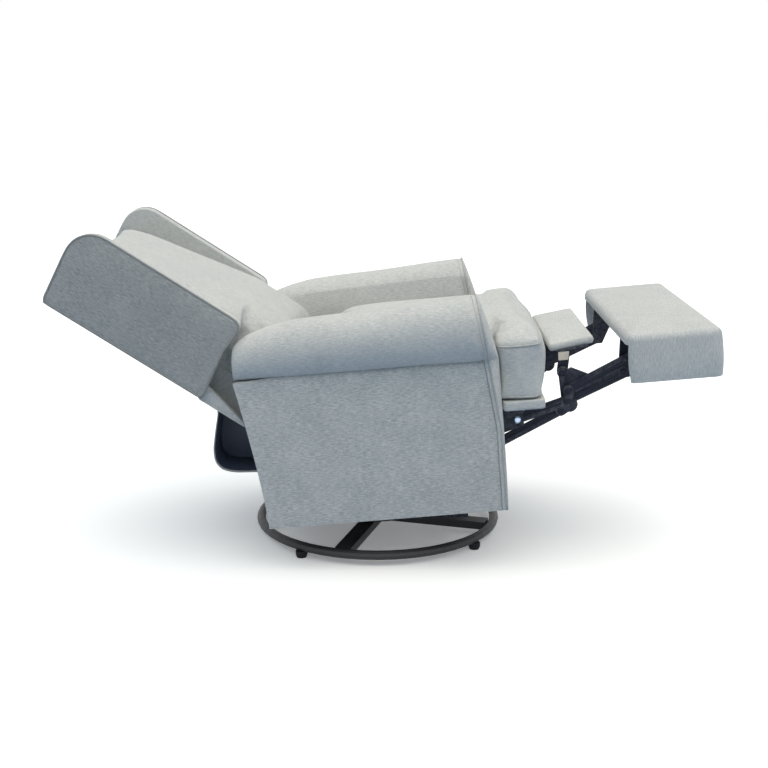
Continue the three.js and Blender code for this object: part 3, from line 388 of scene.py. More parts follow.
def padded(outline, centre, low, high, place, crown_high=0.0, draw_in=0.0, rings=14, rows=8, power=2.6,
           ease=0.6):
    """A padded form over an outline: crowned faces, and sides drawn in between their seams."""
    outline = np.asarray(outline, float)
    centre = np.asarray(centre, float)
    after, before = np.roll(outline, -1, axis=0), np.roll(outline, 1, axis=0)
    side = np.column_stack((after[:, 1] - before[:, 1], before[:, 0] - after[:, 0]))
    side /= np.linalg.norm(side, axis=1)[:, None]
    side[np.einsum("ij,ij->i", side, outline - centre) < 0] *= -1

    def level(share):
        return max(0.0, 1 - share ** power) ** ease

    def ring(share, out, crown):
        flat = centre + (outline - centre) * share
        return place(flat[:, 0], flat[:, 1], out(flat[:, 0], flat[:, 1]) + crown * level(share))

    shares = [math.sin(math.pi / 2 * k / rings) for k in range(1, rings + 1)]
    all_rings = [ring(s, high, crown_high) for s in shares]
    for k in range(1, rows):
        share = k / rows
        inset = draw_in * 4 * share * (1 - share)
        flat = outline - side * inset
        top, foot = high(outline[:, 0], outline[:, 1]), low(outline[:, 0], outline[:, 1])
        all_rings.append(place(flat[:, 0], flat[:, 1], top + (foot - top) * share))
    all_rings += [ring(s, low, 0.0) for s in reversed(shares)]
    a, b = centre[:1], centre[1:]
    return skin(all_rings, place(a, b, high(a, b) + crown_high), place(a, b, low(a, b)))


def flat_level(value):
    return lambda a, b: np.full(np.shape(a), float(value))


# Soft shaping
def remesh(piece, voxel):
    modifier = piece.modifiers.new("Remesh", "REMESH")
    modifier.mode = "VOXEL"
    modifier.voxel_size = voxel
    modifier.use_smooth_shade = True
    return bake_modifiers(piece)


def smooth(piece, times, factor=0.5):
    modifier = piece.modifiers.new("Smooth", "SMOOTH")
    modifier.factor = factor
    modifier.iterations = times
    return bake_modifiers(piece)


def subdivide(piece, levels=1):
    modifier = piece.modifiers.new("Subdivision", "SUBSURF")
    modifier.levels = modifier.render_levels = levels
    return bake_modifiers(piece)


def fill_with_air(piece, pressure, cap, frames, stiffness=12.0, bending=0.8):
    """Blows a cushion up as cloth, each point moving no further than the cap."""
    rest = get_points(piece)
    modifier = piece.modifiers.new("Cloth", "CLOTH")
    cloth = modifier.settings
    cloth.quality = 6
    cloth.mass = 0.3
    cloth.tension_stiffness = cloth.compression_stiffness = stiffness
    cloth.shear_stiffness = stiffness / 2
    cloth.bending_stiffness = bending
    cloth.air_damping = 2.0
    cloth.use_pressure = True
    cloth.uniform_pressure_force = pressure
    cloth.effector_weights.gravity = 0.0
    cloth.shrink_min = -0.012
    modifier.point_cache.frame_start = 1
    modifier.point_cache.frame_end = frames
    scene = bpy.context.scene
    for step in range(1, frames + 1):
        scene.frame_set(step)
    seen = piece.evaluated_get(bpy.context.evaluated_depsgraph_get())
    points = np.empty(len(rest) * 3, np.float32)
    seen.data.vertices.foreach_get("co", points)
    piece.modifiers.remove(modifier)
    scene.frame_set(1)
    move = points.reshape(-1, 3).astype(float) - rest
    length = np.linalg.norm(move, axis=1)[:, None]
    set_points(piece, rest + move * np.minimum(1.0, cap / np.maximum(length, 1e-9)))
    return piece


def path_reach(points, path):
    """Each point's distance to a path, and how far along the path its nearest place is."""
    path = np.asarray(path, float)
    steps = np.linalg.norm(np.diff(path, axis=0), axis=1)
    fine, along, run = [], [], 0.0
    for a, b, length in zip(path[:-1], path[1:], steps):
        parts = max(1, int(length / SEAM["fine"]))
        for i in range(parts):
            fine.append(a + (b - a) * i / parts)
            along.append(run + length * i / parts)
        run += length
    tree = KDTree(len(fine))
    for k, p in enumerate(fine):
        tree.insert(p, k)
    tree.balance()
    found = [tree.find(p) for p in points]
    return np.array([f[2] for f in found]), np.array([along[f[1]] for f in found])


def press(piece, path):
    """Presses a seam into a piece along a path, with puckers across it."""
    depth, width, pucker, pitch = (SEAM[key] for key in ("depth", "width", "pucker", "pitch"))
    points, normals = get_points(piece), get_normals(piece)
    distance, along = path_reach(points, path)
    groove = np.exp(-((distance / width) ** 2))
    beside = np.exp(-((distance / (2.6 * width)) ** 2)) * (1 - groove)
    wave = np.sin(2 * math.pi * along / pitch + 1.7 * np.sin(along / pitch * 1.3))
    amount = depth * groove + pucker * wave * beside
    set_points(piece, points - normals * amount[:, None])
    return piece


# Waves of stuffing: direction, and where each begins
WAVES = (
    (1.0, 0.3, 0.7, 0.0), (-0.6, 1.1, 0.4, 1.9), (0.5, -0.8, 1.2, 4.1), (1.7, 0.9, -1.1, 2.6),
    (-1.3, 1.9, 0.8, 5.2),
)


def undulate(piece, height, length, turn=0.0):
    """Slow rise and fall of stuffing under the cloth."""
    points, normals = get_points(piece), get_normals(piece)
    total = np.zeros(len(points))
    for k, (a, b, c, phase) in enumerate(WAVES):
        run = 2 * math.pi / length * (points @ np.array([a, b, c]))
        total += np.sin(run + phase + turn * (k + 1)) / (1 + 0.5 * k)
    set_points(piece, points + normals * (height * total / 2.5)[:, None])
    return piece


def tube(name, path, radius, material, sides=10):
    """A welt cord: a round tube along a closed path."""
    path = np.asarray(path, float)
    tangent = np.roll(path, -1, axis=0) - np.roll(path, 1, axis=0)
    tangent /= np.linalg.norm(tangent, axis=1)[:, None]
    turns = [2 * math.pi * k / sides for k in range(sides)]
    up = np.cross(tangent[0], (0.31, 0.52, 0.79))
    rings = []
    for point, along in zip(path, tangent):
        up = up - along * (up @ along)
        up /= np.linalg.norm(up)
        across = np.cross(along, up)
        rings.append([point + radius * (math.cos(t) * up + math.sin(t) * across) for t in turns])
    # the rings turn a little along the cord, so that the last one meets the first
    first = np.array(rings[0])
    best = min(range(sides), key=lambda s: np.abs(np.roll(rings[-1], s, axis=0) - first).sum())
    shift = [round(best * k / (len(rings) - 1)) for k in range(len(rings))]
    rings = [np.roll(ring, s, axis=0) for ring, s in zip(rings, shift)]
    points, faces = skin(rings + [rings[0]])
    last = len(rings) * sides
    faces = [tuple(v - last if v >= last else v for v in face) for face in faces]
    return new_mesh(name, points[:last], faces, material)


def resample(path, step, closed=False):
    """A path with points an even step apart."""
    path = np.asarray(path, float)
    if closed:
        path = np.vstack((path, path[:1]))
    lengths = np.concatenate(([0], np.cumsum(np.linalg.norm(np.diff(path, axis=0), axis=1))))
    count = max(4, int(lengths[-1] / step))
    places = np.linspace(0, lengths[-1], count + 1)
    done = np.column_stack([np.interp(places, lengths, path[:, i]) for i in range(3)])
    return done[:-1] if closed else done


def even_out(path, times, closed=False):
    """A path with its bends eased."""
    for _ in range(times):
        if closed:
            path = (np.roll(path, 1, axis=0) + 2 * path + np.roll(path, -1, axis=0)) / 4
        else:
            path = np.vstack((path[:1], (path[:-2] + 2 * path[1:-1] + path[2:]) / 4, path[-1:]))
    return path


def on_surface(piece, path, lift):
    """The path laid on a piece, and lifted off it."""
    corners = [v.co[:] for v in piece.data.vertices]
    tree = BVHTree.FromPolygons(corners, [p.vertices[:] for p in piece.data.polygons])
    done = []
    for point in path:
        place, normal, _, _ = tree.find_nearest(Vector(point))
        done.append(np.array(place + normal * lift))
    return np.array(done)


def welt(name, piece, path, material, body, radius=None, lift=0.35):
    """A welt laid in a seam that runs round a piece."""
    radius = radius or settings("cloth").welt
    laid = on_surface(piece, resample(path, SEAM["step"], True), radius * lift)
    cord = tube(name, even_out(laid, 3, True), radius, material)
    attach(cord, body)
    return cord


def dress(piece, body, slot, *nodes):
    """Puts a finished piece on its body in place of its nodes."""
    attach(piece, body)
    if nodes:
        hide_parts(*nodes)
    return piece


# Node tools
class Web:
    """A node tree that is written as sums."""

    def __init__(self, tree):
        self.tree = tree

    def node(self, kind, **values):
        node = self.tree.nodes.new(kind)
        for key, value in values.items():
            setattr(node, key, value)
        return node

    def put(self, socket, value):
        if isinstance(value, bpy.types.NodeSocket):
            self.tree.links.new(value, socket)
        else:
            socket.default_value = value

    def maths(self, operation, *values, clamp=False):
        node = self.node("ShaderNodeMath", operation=operation, use_clamp=clamp)
        for socket, value in zip(node.inputs, values):
            self.put(socket, value)
        return node.outputs[0]

    def mix(self, factor, a, b, kind="FLOAT"):
        node = self.node("ShaderNodeMix", data_type=kind)
        at = {"FLOAT": (2, 3, 0), "RGBA": (6, 7, 2)}[kind]
        self.put(node.inputs[0], factor)
        self.put(node.inputs[at[0]], a)
        self.put(node.inputs[at[1]], b)
        return node.outputs[at[2]]

    def noise(self, vector, scale, detail=2.0, rough=0.5, dims="3D"):
        node = self.node("ShaderNodeTexNoise", noise_dimensions=dims)
        self.put(node.inputs["Vector"], vector)
        node.inputs["Scale"].default_value = scale
        node.inputs["Detail"].default_value = detail
        node.inputs["Roughness"].default_value = rough
        return node.outputs["Fac"]

    def join(self, x, y, z=0.0):
        node = self.node("ShaderNodeCombineXYZ")
        for socket, value in zip(node.inputs, (x, y, z)):
            self.put(socket, value)
        return node.outputs[0]

    def split(self, vector):
        node = self.node("ShaderNodeSeparateXYZ")
        self.put(node.inputs[0], vector)
        return node.outputs

    def bump(self, shader, height, strength, distance):
        node = self.node("ShaderNodeBump")
        node.inputs["Strength"].default_value = strength
        node.inputs["Distance"].default_value = distance
        self.put(node.inputs["Height"], height)
        self.put(shader.inputs["Normal"], node.outputs[0])

    def group(self, tree, **values):
        node = self.node("ShaderNodeGroup")
        node.node_tree = tree
        for key, value in values.items():
            self.put(node.inputs[key.replace("_", " ")], value)
        return node.outputs


def new_group(name, inputs, outputs):
    """A shader node group, with its sockets as (name, kind, default)."""
    tree = bpy.data.node_groups.new(name, "ShaderNodeTree")
    for label, kind, default in inputs:
        socket = tree.interface.new_socket(label, in_out="INPUT", socket_type="NodeSocket" + kind)
        if default is not None:
            socket.default_value = default
    for label, kind in outputs:
        tree.interface.new_socket(label, in_out="OUTPUT", socket_type="NodeSocket" + kind)
    web = Web(tree)
    return web, web.node("NodeGroupInput").outputs, web.node("NodeGroupOutput").inputs


def group_once(name, build):
    return bpy.data.node_groups.get(name) or build(name)


def linen_weave(name):
    """Heathered plain weave: slubs along the weft, a finer warp, and the rise of each thread."""
    web, given, out = new_group(name, (
        ("Place", "Vector", None), ("Facing", "Vector", None),
        ("Thread", "Float", 0.0009), ("Slub", "Float", 0.02), ("Turn", "Float", 0.0),
        ("Pale", "Color", (0.6, 0.6, 0.6, 1)), ("Deep", "Color", (0.3, 0.33, 0.36, 1)),
        ("Contrast", "Float", 1.0),
    ), (("Color", "Color"), ("Roughness", "Float"), ("Height", "Float")))
    x, y, z = web.split(given["Place"])
    nx, ny, nz = (web.maths("ABSOLUTE", n) for n in web.split(given["Facing"]))
    end_on = web.maths("GREATER_THAN", nx, web.maths("MAXIMUM", ny, nz))
    flat_on = web.maths("GREATER_THAN", nz, web.maths("MAXIMUM", nx, ny))
    first = web.mix(end_on, x, y)
    second = web.mix(flat_on, z, y)
    u = web.mix(given["Turn"], first, second)
    v = web.mix(given["Turn"], second, first)
    across, down = web.maths("DIVIDE", u, given["Thread"]), web.maths("DIVIDE", v, given["Thread"])
    column, row = web.maths("FLOOR", across), web.maths("FLOOR", down)
    over = web.maths("PINGPONG", web.maths("ADD", column, row), 1.0)
    wave_u = web.maths("ABSOLUTE", web.maths("SINE", web.maths("MULTIPLY", across, math.pi)))
    wave_v = web.maths("ABSOLUTE", web.maths("SINE", web.maths("MULTIPLY", down, math.pi)))
    weft = web.maths("MULTIPLY", wave_v, web.maths("MULTIPLY_ADD", wave_u, 0.5, 0.5))
    warp = web.maths("MULTIPLY", wave_u, web.maths("MULTIPLY_ADD", wave_v, 0.4, 0.4))
    height = web.mix(over, weft, warp)
    run = web.maths("DIVIDE", u, given["Slub"])
    rise = web.maths("DIVIDE", v, given["Slub"])
    thread_slub = web.noise(web.join(run, web.maths("MULTIPLY", row, 7.31)), 1.0, 1.0, 0.5, "2D")
    bundle = web.noise(web.join(run, web.maths("MULTIPLY", rise, 7.5)), 1.0, 3.0, 0.7, "2D")
    warp_place = web.join(web.maths("MULTIPLY", run, 11.0), web.maths("MULTIPLY", rise, 0.9))
    warp_slub = web.noise(warp_place, 1.0, 2.0, 0.6, "2D")
    mottle = web.noise(given["Place"], 14.0, 3.0, 0.6)
    parts = ((thread_slub, 0.9), (bundle, 1.5), (warp_slub, 0.55), (mottle, 0.45))
    total = 0.0
    for value, weight in parts:
        total = web.maths("MULTIPLY_ADD", web.maths("SUBTRACT", value, 0.5), weight, total)
    total = web.maths("MULTIPLY_ADD", web.maths("SUBTRACT", height, 0.5), 0.22, total)
    share = web.maths("MULTIPLY_ADD", total, given["Contrast"], 0.5, clamp=True)
    web.put(out["Color"], web.mix(share, given["Deep"], given["Pale"], "RGBA"))
    web.put(out["Roughness"], web.maths("MULTIPLY_ADD", height, -0.12, 0.95))
    bumps = web.maths("MULTIPLY_ADD", bundle, 0.6, web.maths("MULTIPLY_ADD", thread_slub, 0.5, height))
    web.put(out["Height"], bumps)
    return web.tree


def edge_wear(name):
    """Where edges rub bright and hollows gather dust, with a broken-up border."""
    web, given, out = new_group(name, (
        ("Place", "Vector", None), ("Edge", "Float", 0.5), ("Amount", "Float", 0.5),
    ), (("Rub", "Float"), ("Dust", "Float")))
    speckle = web.noise(given["Place"], 90.0, 4.0, 0.7)
    sharp = web.maths("MULTIPLY", web.maths("SUBTRACT", given["Edge"], 0.52), 14.0, clamp=True)
    hollow = web.maths("MULTIPLY", web.maths("SUBTRACT", 0.48, given["Edge"]), 10.0, clamp=True)
    broken = web.maths("MULTIPLY", web.maths("SUBTRACT", speckle, 0.35), 3.0, clamp=True)
    web.put(out["Rub"], web.maths("MULTIPLY", web.maths("MULTIPLY", sharp, broken), given["Amount"]))
    patch = web.noise(given["Place"], 9.0, 4.0, 0.65)
    film = web.maths("MULTIPLY", web.maths("SUBTRACT", patch, 0.42), 1.6, clamp=True)
    web.put(out["Dust"], web.maths("MAXIMUM", hollow, film))
    return web.tree


def new_material(name):
    material = bpy.data.materials.new(name)
    material.use_nodes = True
    tree = material.node_tree
    shader = tree.nodes["Principled BSDF"]
    return material, Web(tree), shader


def colour4(colour):
    return (*colour, 1.0)


def cloth(name, tilt=0.0, turn=0.0, shade=1.0, contrast=1.0):
    """The woven cover, its threads lined up with a piece that is tilted about Y."""
    made = bpy.data.materials.get(name)
    if made:
        return made
    look = settings("cloth")
    material, web, shader = new_material(name)
    coords = web.node("ShaderNodeTexCoord").outputs
    turned = []
    for key in ("Object", "Normal"):
        node = web.node("ShaderNodeVectorRotate", rotation_type="Y_AXIS")
        web.put(node.inputs["Vector"], coords[key])
        node.inputs["Angle"].default_value = tilt
        turned.append(node.outputs[0])
    # shade below 1 darkens both thread colours: painted shade, for the covers that stand in shadow
    pale, deep = (colour4(tuple(c * shade for c in colour)) for colour in (look.pale, look.deep))
    linen = group_once("linen_weave", linen_weave)
    weave = web.group(linen, Place=turned[0], Facing=turned[1], Thread=look.thread,
                      Slub=look.slub, Turn=turn, Pale=pale, Deep=deep, Contrast=contrast)
    edge = web.node("ShaderNodeNewGeometry").outputs["Pointiness"]
    wear = web.group(group_once("edge_wear", edge_wear), Place=turned[0], Edge=edge, Amount=0.35)
    rubbed = web.mix(wear["Rub"], weave["Color"], pale, "RGBA")
    web.put(shader.inputs["Base Color"], rubbed)
    web.put(shader.inputs["Roughness"], weave["Roughness"])
    web.bump(shader, weave["Height"], 0.55, 0.0006)
    shader.inputs["Sheen Weight"].default_value = 0.25
    shader.inputs["Sheen Roughness"].default_value = 0.5
    shader.inputs["Specular IOR Level"].default_value = 0.2
    return material


def lining_cloth():
    """Thin dark dust cloth with a pressed grid of dots."""
    made = bpy.data.materials.get("dust_cloth")
    if made:
        return made
    look = settings("cloth")
    material, web, shader = new_material("dust_cloth")
    place = web.node("ShaderNodeTexCoord").outputs["Object"]
    fibres = web.noise(place, 900.0, 3.0, 0.7)
    dots = web.node("ShaderNodeTexVoronoi")
    web.put(dots.inputs["Vector"], place)
    dots.inputs["Scale"].default_value = 420.0
    deep = colour4(look.lining)
    pale = colour4(tuple(c * 2.0 for c in look.lining))
    web.put(shader.inputs["Base Color"], web.mix(fibres, deep, pale, "RGBA"))
    web.put(shader.inputs["Roughness"], web.maths("MULTIPLY_ADD", fibres, 0.2, 0.38))
    web.bump(shader, web.maths("ADD", fibres, dots.outputs["Distance"]), 0.5, 0.0004)
    return material


def painted_metal(name, colour, rough, grain, wear, metallic=0.0, bare=(0.35, 0.36, 0.38)):
    """Paint over steel, with orange peel, rubbed edges and a film of dust."""
    made = bpy.data.materials.get(name)
    if made:
        return made
    material, web, shader = new_material(name)
    place = web.node("ShaderNodeTexCoord").outputs["Object"]
    edge = web.node("ShaderNodeNewGeometry").outputs["Pointiness"]
    worn = web.group(group_once("edge_wear", edge_wear), Place=place, Edge=edge, Amount=wear)
    patch = web.noise(place, 22.0, 4.0, 0.6)
    lighter = colour4(tuple(min(1.0, c * 1.9 + 0.004) for c in colour))
    shader.inputs["Specular IOR Level"].default_value = 0.16
    base = web.mix(patch, colour4(colour), lighter, "RGBA")
    dusty = web.mix(web.maths("MULTIPLY", worn["Dust"], 0.02), base, colour4((0.30, 0.31, 0.33)), "RGBA")
    web.put(shader.inputs["Base Color"], web.mix(worn["Rub"], dusty, colour4(bare), "RGBA"))
    shine = web.maths("MULTIPLY_ADD", patch, 0.16, rough - 0.08)
    web.put(shader.inputs["Roughness"], web.maths("MULTIPLY_ADD", worn["Dust"], 0.15, shine))
    shader.inputs["Metallic"].default_value = metallic
    web.bump(shader, web.noise(place, grain, 2.0, 0.5), 0.25, 0.0003)
    return material


def board_wood():
    """Plain sawn boards, with their grain along them."""
    made = bpy.data.materials.get("frame_board")
    if made:
        return made
    material, web, shader = new_material("frame_board")
    place = web.node("ShaderNodeTexCoord").outputs["Object"]
    stretch = web.node("ShaderNodeMapping")
    web.put(stretch.inputs["Vector"], place)
    stretch.inputs["Scale"].default_value = (4.0, 60.0, 60.0)
    grain = web.noise(stretch.outputs[0], 3.0, 6.0, 0.65)
    rings = web.node("ShaderNodeTexWave")
    web.put(rings.inputs["Vector"], stretch.outputs[0])
    rings.inputs["Scale"].default_value = 0.35
    rings.inputs["Distortion"].default_value = 9.0
    figure = web.maths("MULTIPLY_ADD", grain, 0.6, web.maths("MULTIPLY", rings.outputs["Fac"], 0.4))
    colour = web.mix(figure, (0.42, 0.27, 0.14, 1), (0.68, 0.50, 0.31, 1), "RGBA")
    web.put(shader.inputs["Base Color"], colour)
    web.put(shader.inputs["Roughness"], web.maths("MULTIPLY_ADD", figure, -0.15, 0.72))
    web.bump(shader, figure, 0.3, 0.0005)
    return material


def mechanism_paint():
    return painted_metal("mechanism_paint", settings("metal").steel, 0.42, 260.0, 0.30)


def base_paint():
    colour = tuple(c * 0.35 for c in settings("metal").paint)
    return painted_metal("base_paint", colour, 0.46, 320.0, 0.04)


def bright_bolt():
    colour = settings("metal").bolt
    return painted_metal("bolt_zinc", colour, 0.34, 500.0, 0.5, metallic=1.0, bare=(0.7, 0.72, 0.76))


def zinc_plate():
    colour = (0.45, 0.47, 0.50)
    return painted_metal("zinc_plate", colour, 0.36, 400.0, 0.4, metallic=1.0, bare=(0.7, 0.7, 0.7))


def clip_enamel():
    return painted_metal("clip_enamel", (0.50, 0.44, 0.36), 0.45, 500.0, 0.25)


def spring_wire():
    return painted_metal("spring_wire", (0.10, 0.105, 0.115), 0.40, 350.0, 0.3, metallic=1.0)


def foot_plastic():
    return painted_metal("foot_plastic", (0.016, 0.016, 0.018), 0.62, 700.0, 0.1, bare=(0.06, 0.06, 0.06))


def finish_nodes(material, *names, angle=40.0):
    """Gives CAD nodes a finish, smooth round their curves and crisp at their edges."""
    for name in names:
        piece = NODES[name]
        piece.data.materials.clear()
        piece.data.materials.append(material)
        piece.data.polygons.foreach_set("use_smooth", np.ones(len(piece.data.polygons), bool))
        piece.data.set_sharp_from_angle(angle=math.radians(angle))


def both(stem):
    return [stem + "_" + name for name, _ in SIDES]


def mirrored(place, sign):
    """A place function for the left side as it stands, and for the right side turned over."""
    return lambda points: place(points * (1, sign, 1))


def across_place(place, first, second, across):
    """Points of a flat outline as (first, across, second), put in place."""
    return place(np.column_stack((first, np.full(len(first), float(across)), second)))


# Outlines
def front_line(z):
    share = np.maximum(0, z - PANEL["lean_from"]) / (ARM["crease"] + 2 * ROLL["radius"] - PANEL["lean_from"])
    return ARM["front"] - PANEL["lean"] * share


def rear_line(z):
    share = np.clip((z - ARM["floor"]) / (ARM["crease"] - ARM["floor"]), 0, None)
    return -ARM["foot"] - (ARM["top"] - ARM["foot"]) * share ** ARM["curve"]


def tee(foot, waist, top, half, wide, radius):
    """A T's outline, narrow at the foot: across, then along."""
    side = [(half, foot), (half, waist), (wide, waist), (wide, top)]
    corners = side + [(-a, b) for a, b in reversed(side)]
    radii = [radius, radius, radius, radius * 1.4]
    return spread(round_corners(corners, radii + radii[::-1]), 9)


def panel_outline():
    """The arm's front panel: a round head over a straight leg, as (across, height)."""
    centre = ARM["crease"] + ROLL["radius"]
    outer = -math.acos((ARM["outer"] - ROLL["centre"]) / ROLL["radius"])
    inner = math.acos((ARM["inner"] - ROLL["centre"]) / ROLL["radius"])
    legs = [(ARM["outer"], ARM["floor"])]
    steps = PANEL["head_steps"]
    for k in range(steps + 1):
        angle = outer + (inner - outer) * k / steps
        across = ROLL["centre"] + ROLL["radius"] * math.cos(angle)
        legs.append((across, centre + ROLL["radius"] * math.sin(angle)))
    legs.append((ARM["inner"], ARM["floor"]))
    foot, head = PANEL["foot_round"], PANEL["head_round"]
    return spread(round_corners(legs, [foot] + [head] * (len(legs) - 2) + [foot], 3), 8)


class ReclinerOperator:
    bl_options = {"REGISTER", "UNDO"}


class RECLINER_OT_base(ReclinerOperator, bpy.types.Operator):
    """Finishes the ring, its bars and feet, and the swivel bearing"""
    bl_idname = "recliner.base"
    bl_label = "Base"

    def execute(self, context):
        finish_nodes(base_paint(), "base_ring", "base_cross", "swivel_lower_plate", "swivel_upper_plate")
        finish_nodes(foot_plastic(), *["base_foot_%d" % k for k in range(1, 5)])
        finish_nodes(zinc_plate(), "bearing_lower_race", "bearing_cage", "bearing_upper_race")
        return {"FINISHED"}


class RECLINER_OT_mechanism(ReclinerOperator, bpy.types.Operator):
    """Finishes the glider, the mechanism's plates, links and brackets, and the springs"""
    bl_idname = "recliner.mechanism"
    bl_label = "Mechanism"

    def execute(self, context):
        stems = (
            "glide_carrier", "glide_link_front", "glide_link_rear", "mechanism_plate", "footrest_crank",
            "front_link", "control_link", "drive_link", "ottoman_bracket", "back_bracket",
        )
        finish_nodes(mechanism_paint(), "carrier_spacer", "platform_frame", "torque_tube", "flipper_bracket",
                     *[name for stem in stems for name in both(stem)])
        finish_nodes(spring_wire(), "seat_springs")
        return {"FINISHED"}


class RECLINER_OT_woodwork(ReclinerOperator, bpy.types.Operator):
    """Finishes the boards and rails inside the covers"""
    bl_idname = "recliner.woodwork"
    bl_label = "Woodwork"

    def execute(self, context):
        finish_nodes(board_wood(), "seat_front_rail", "seat_rear_rail", "rear_cross_rail", "front_cross_rail",
                     "back_frame", "ottoman_board", *both("arm_frame"))
        return {"FINISHED"}


def roll_rings(sign, steps=56, parts=26):
    """Sections of the arm's roll and inner side, drawn along the arm and rounded off behind."""
    foot = ARM["crease"] + ROLL["gap"]
    round_end = -ROLL["rear"] + ROLL["rounding"]
    stations = [(-ROLL["rear"] + ROLL["rounding"] * along, size, 0.0) for along, size in ROLL_END_SHARES]
    stations += [(round_end, 1.0, k / parts) for k in range(1, parts + 1)]
    rings = []
    for start, size, share in stations:
        along = (start + ROLL["rear"] + share * (ARM["front"] - round_end)) / (ROLL["rear"] + ARM["front"])
        radius = ROLL["radius"] - ROLL["slope"] * (1 - along)
        turns = np.radians(np.linspace(ROLL["start"], ROLL["end"], steps + 1))
        across = ROLL["centre"] + radius * np.cos(turns)
        height = foot + radius + radius * np.sin(turns)
        across = ROLL["anchor"] + (across - ROLL["anchor"]) * size
        curl = np.column_stack((across, foot + (height - foot) * size))
        inner = [(ARM["inner"], z) for z in np.linspace(foot, ARM["seat"], ROLL["inner_rows"])]
        back = [(ARM["inner"] + ROLL["inner_thick"], z) for z in (ARM["seat"], foot)]
        across, z = np.vstack((curl, inner, back)).T
        front = front_line(z) - PANEL["pad"] - ROLL["gap"]
        x = start + share * (front - round_end)
        x = np.maximum(x, np.where(z < foot, rear_line(z), start))
        rings.append(seat_place(np.column_stack((x, sign * across, z))))
    return rings


class RECLINER_OT_arm_rolls(ReclinerOperator, bpy.types.Operator):
    """Upholsters the rolls of the arms, rounded off behind"""
    bl_idname = "recliner.arm_rolls"
    bl_label = "Arm rolls"

    def execute(self, context):
        material = cloth("roll_cloth", tilt=TILT)
        for name, sign in SIDES:
            rings = roll_rings(sign)
            points, faces = skin(rings, rings[0].mean(axis=0), rings[-1].mean(axis=0))
            roll = new_mesh("roll_cover_" + name, points, faces, material)
            undulate(roll, 0.0016, 0.34, sign)
            dress(roll, "chair_body", "fabric", "arm_roll_" + name)
        return {"FINISHED"}


class RECLINER_OT_arm_sides(ReclinerOperator, bpy.types.Operator):
    """Stretches the cloth over the outer sides of the arms"""
    bl_idname = "recliner.arm_sides"
    bl_label = "Arm sides"

    def execute(self, context):
        # the side's cloth is a little darker than the roll's: painted shade on the arm's outer side, which
        # stands in shadow
        material = cloth("side_cloth", tilt=TILT, shade=0.94, contrast=1.8)
        straight = np.linspace(ARM["floor"], ARM["crease"], ARM_SIDE["rows"])
        heights = np.concatenate((straight, ARM["crease"] + np.array(CREASE_LIFTS)))
        for name, sign in SIDES:
            rows = [side_row(z, sign) for z in heights]
            points, faces = skin(rows, None, None)
            count = len(rows[0])
            lid = cap_strip(count)
            faces += lid + [tuple(v + (len(rows) - 1) * count for v in face[::-1]) for face in lid]
            side = new_mesh("side_cover_" + name, points, faces, material)
            side.data.set_sharp_from_angle(angle=math.radians(40.0))
            dress(side, "chair_body", "fabric", "arm_side_" + name)
        return {"FINISHED"}


def cap_strip(count):
    """Closes the thin end of a wrapped sheet: pairs of points from its outer and inner runs."""
    faces = []
    a, b = 0, count - 1
    while b - a > 2:
        faces.append((a, b, b - 1, a + 1))
        a, b = a + 1, b - 1
    if b - a == 2:
        faces.append((a, b, a + 1))
    return faces


def gather(x, z):
    """Small pleats that run down the side from its seam under the roll."""
    fall = ARM["crease"] - z
    total = 0.0
    for place, reach, depth in PLEATS:
        if 0 <= fall < reach * PLEAT["reach"]:
            across = x - place - PLEAT["drift"] * fall
            total += depth * math.exp(-((across / PLEAT["wide"]) ** 2)) * math.exp(-((fall / reach) ** 2) * 2)
    return total


def side_row(z, sign):
    """A level section of the cloth on an arm's side: along the outside, round the rear, and back inside."""
    height, drawn = min(z, ARM["crease"]), np.maximum(0, z - ARM["crease"])
    front, rear = front_line(z) - PANEL["pad"] - ARM_SIDE["front_gap"], rear_line(height)
    share = min(1, max(0, (z - ARM["floor"]) / (ARM["crease"] - ARM["floor"])))
    crown = ARM_SIDE["crown"] * math.sin(math.pi * share) ** ARM_SIDE["power"]
    outer, lap = ARM["outer"], ARM_SIDE["lap"]
    row = []
    for x in np.linspace(front, rear, ARM_SIDE["columns"]):
        run = (front - x) / (front - rear)
        under = min(1.0, max(0.0, (x - rear) / ARM_SIDE["under"]))
        swell = crown * math.sin(math.pi * run) ** ARM_SIDE["power"] - gather(x, z)
        across = outer - ARM_SIDE["crown"] + swell - drawn * ARM_SIDE["leaning"]
        row.append((x, across, height + drawn * under))
    row += [(rear + ahead, outer - inward, height) for ahead, inward in ARM_SIDE["rear_edge"]]
    near, far = ARM_SIDE["rear_columns"]
    thin = np.linspace(outer - ARM_SIDE["rear_start"], ARM["inner"] + lap, near)
    row += [(rear + ARM_SIDE["rear_thin"], across, height) for across in thin]
    thick = np.linspace(ARM["inner"] + lap, outer - lap, far)
    row += [(rear + ARM_SIDE["rear_thick"], across, height) for across in thick]
    inside = np.linspace(rear + lap, front, ARM_SIDE["inside_columns"])
    row += [(x, outer - ARM_SIDE["inside"], height) for x in inside]
    return seat_place([(x, sign * across, level) for x, across, level in row])


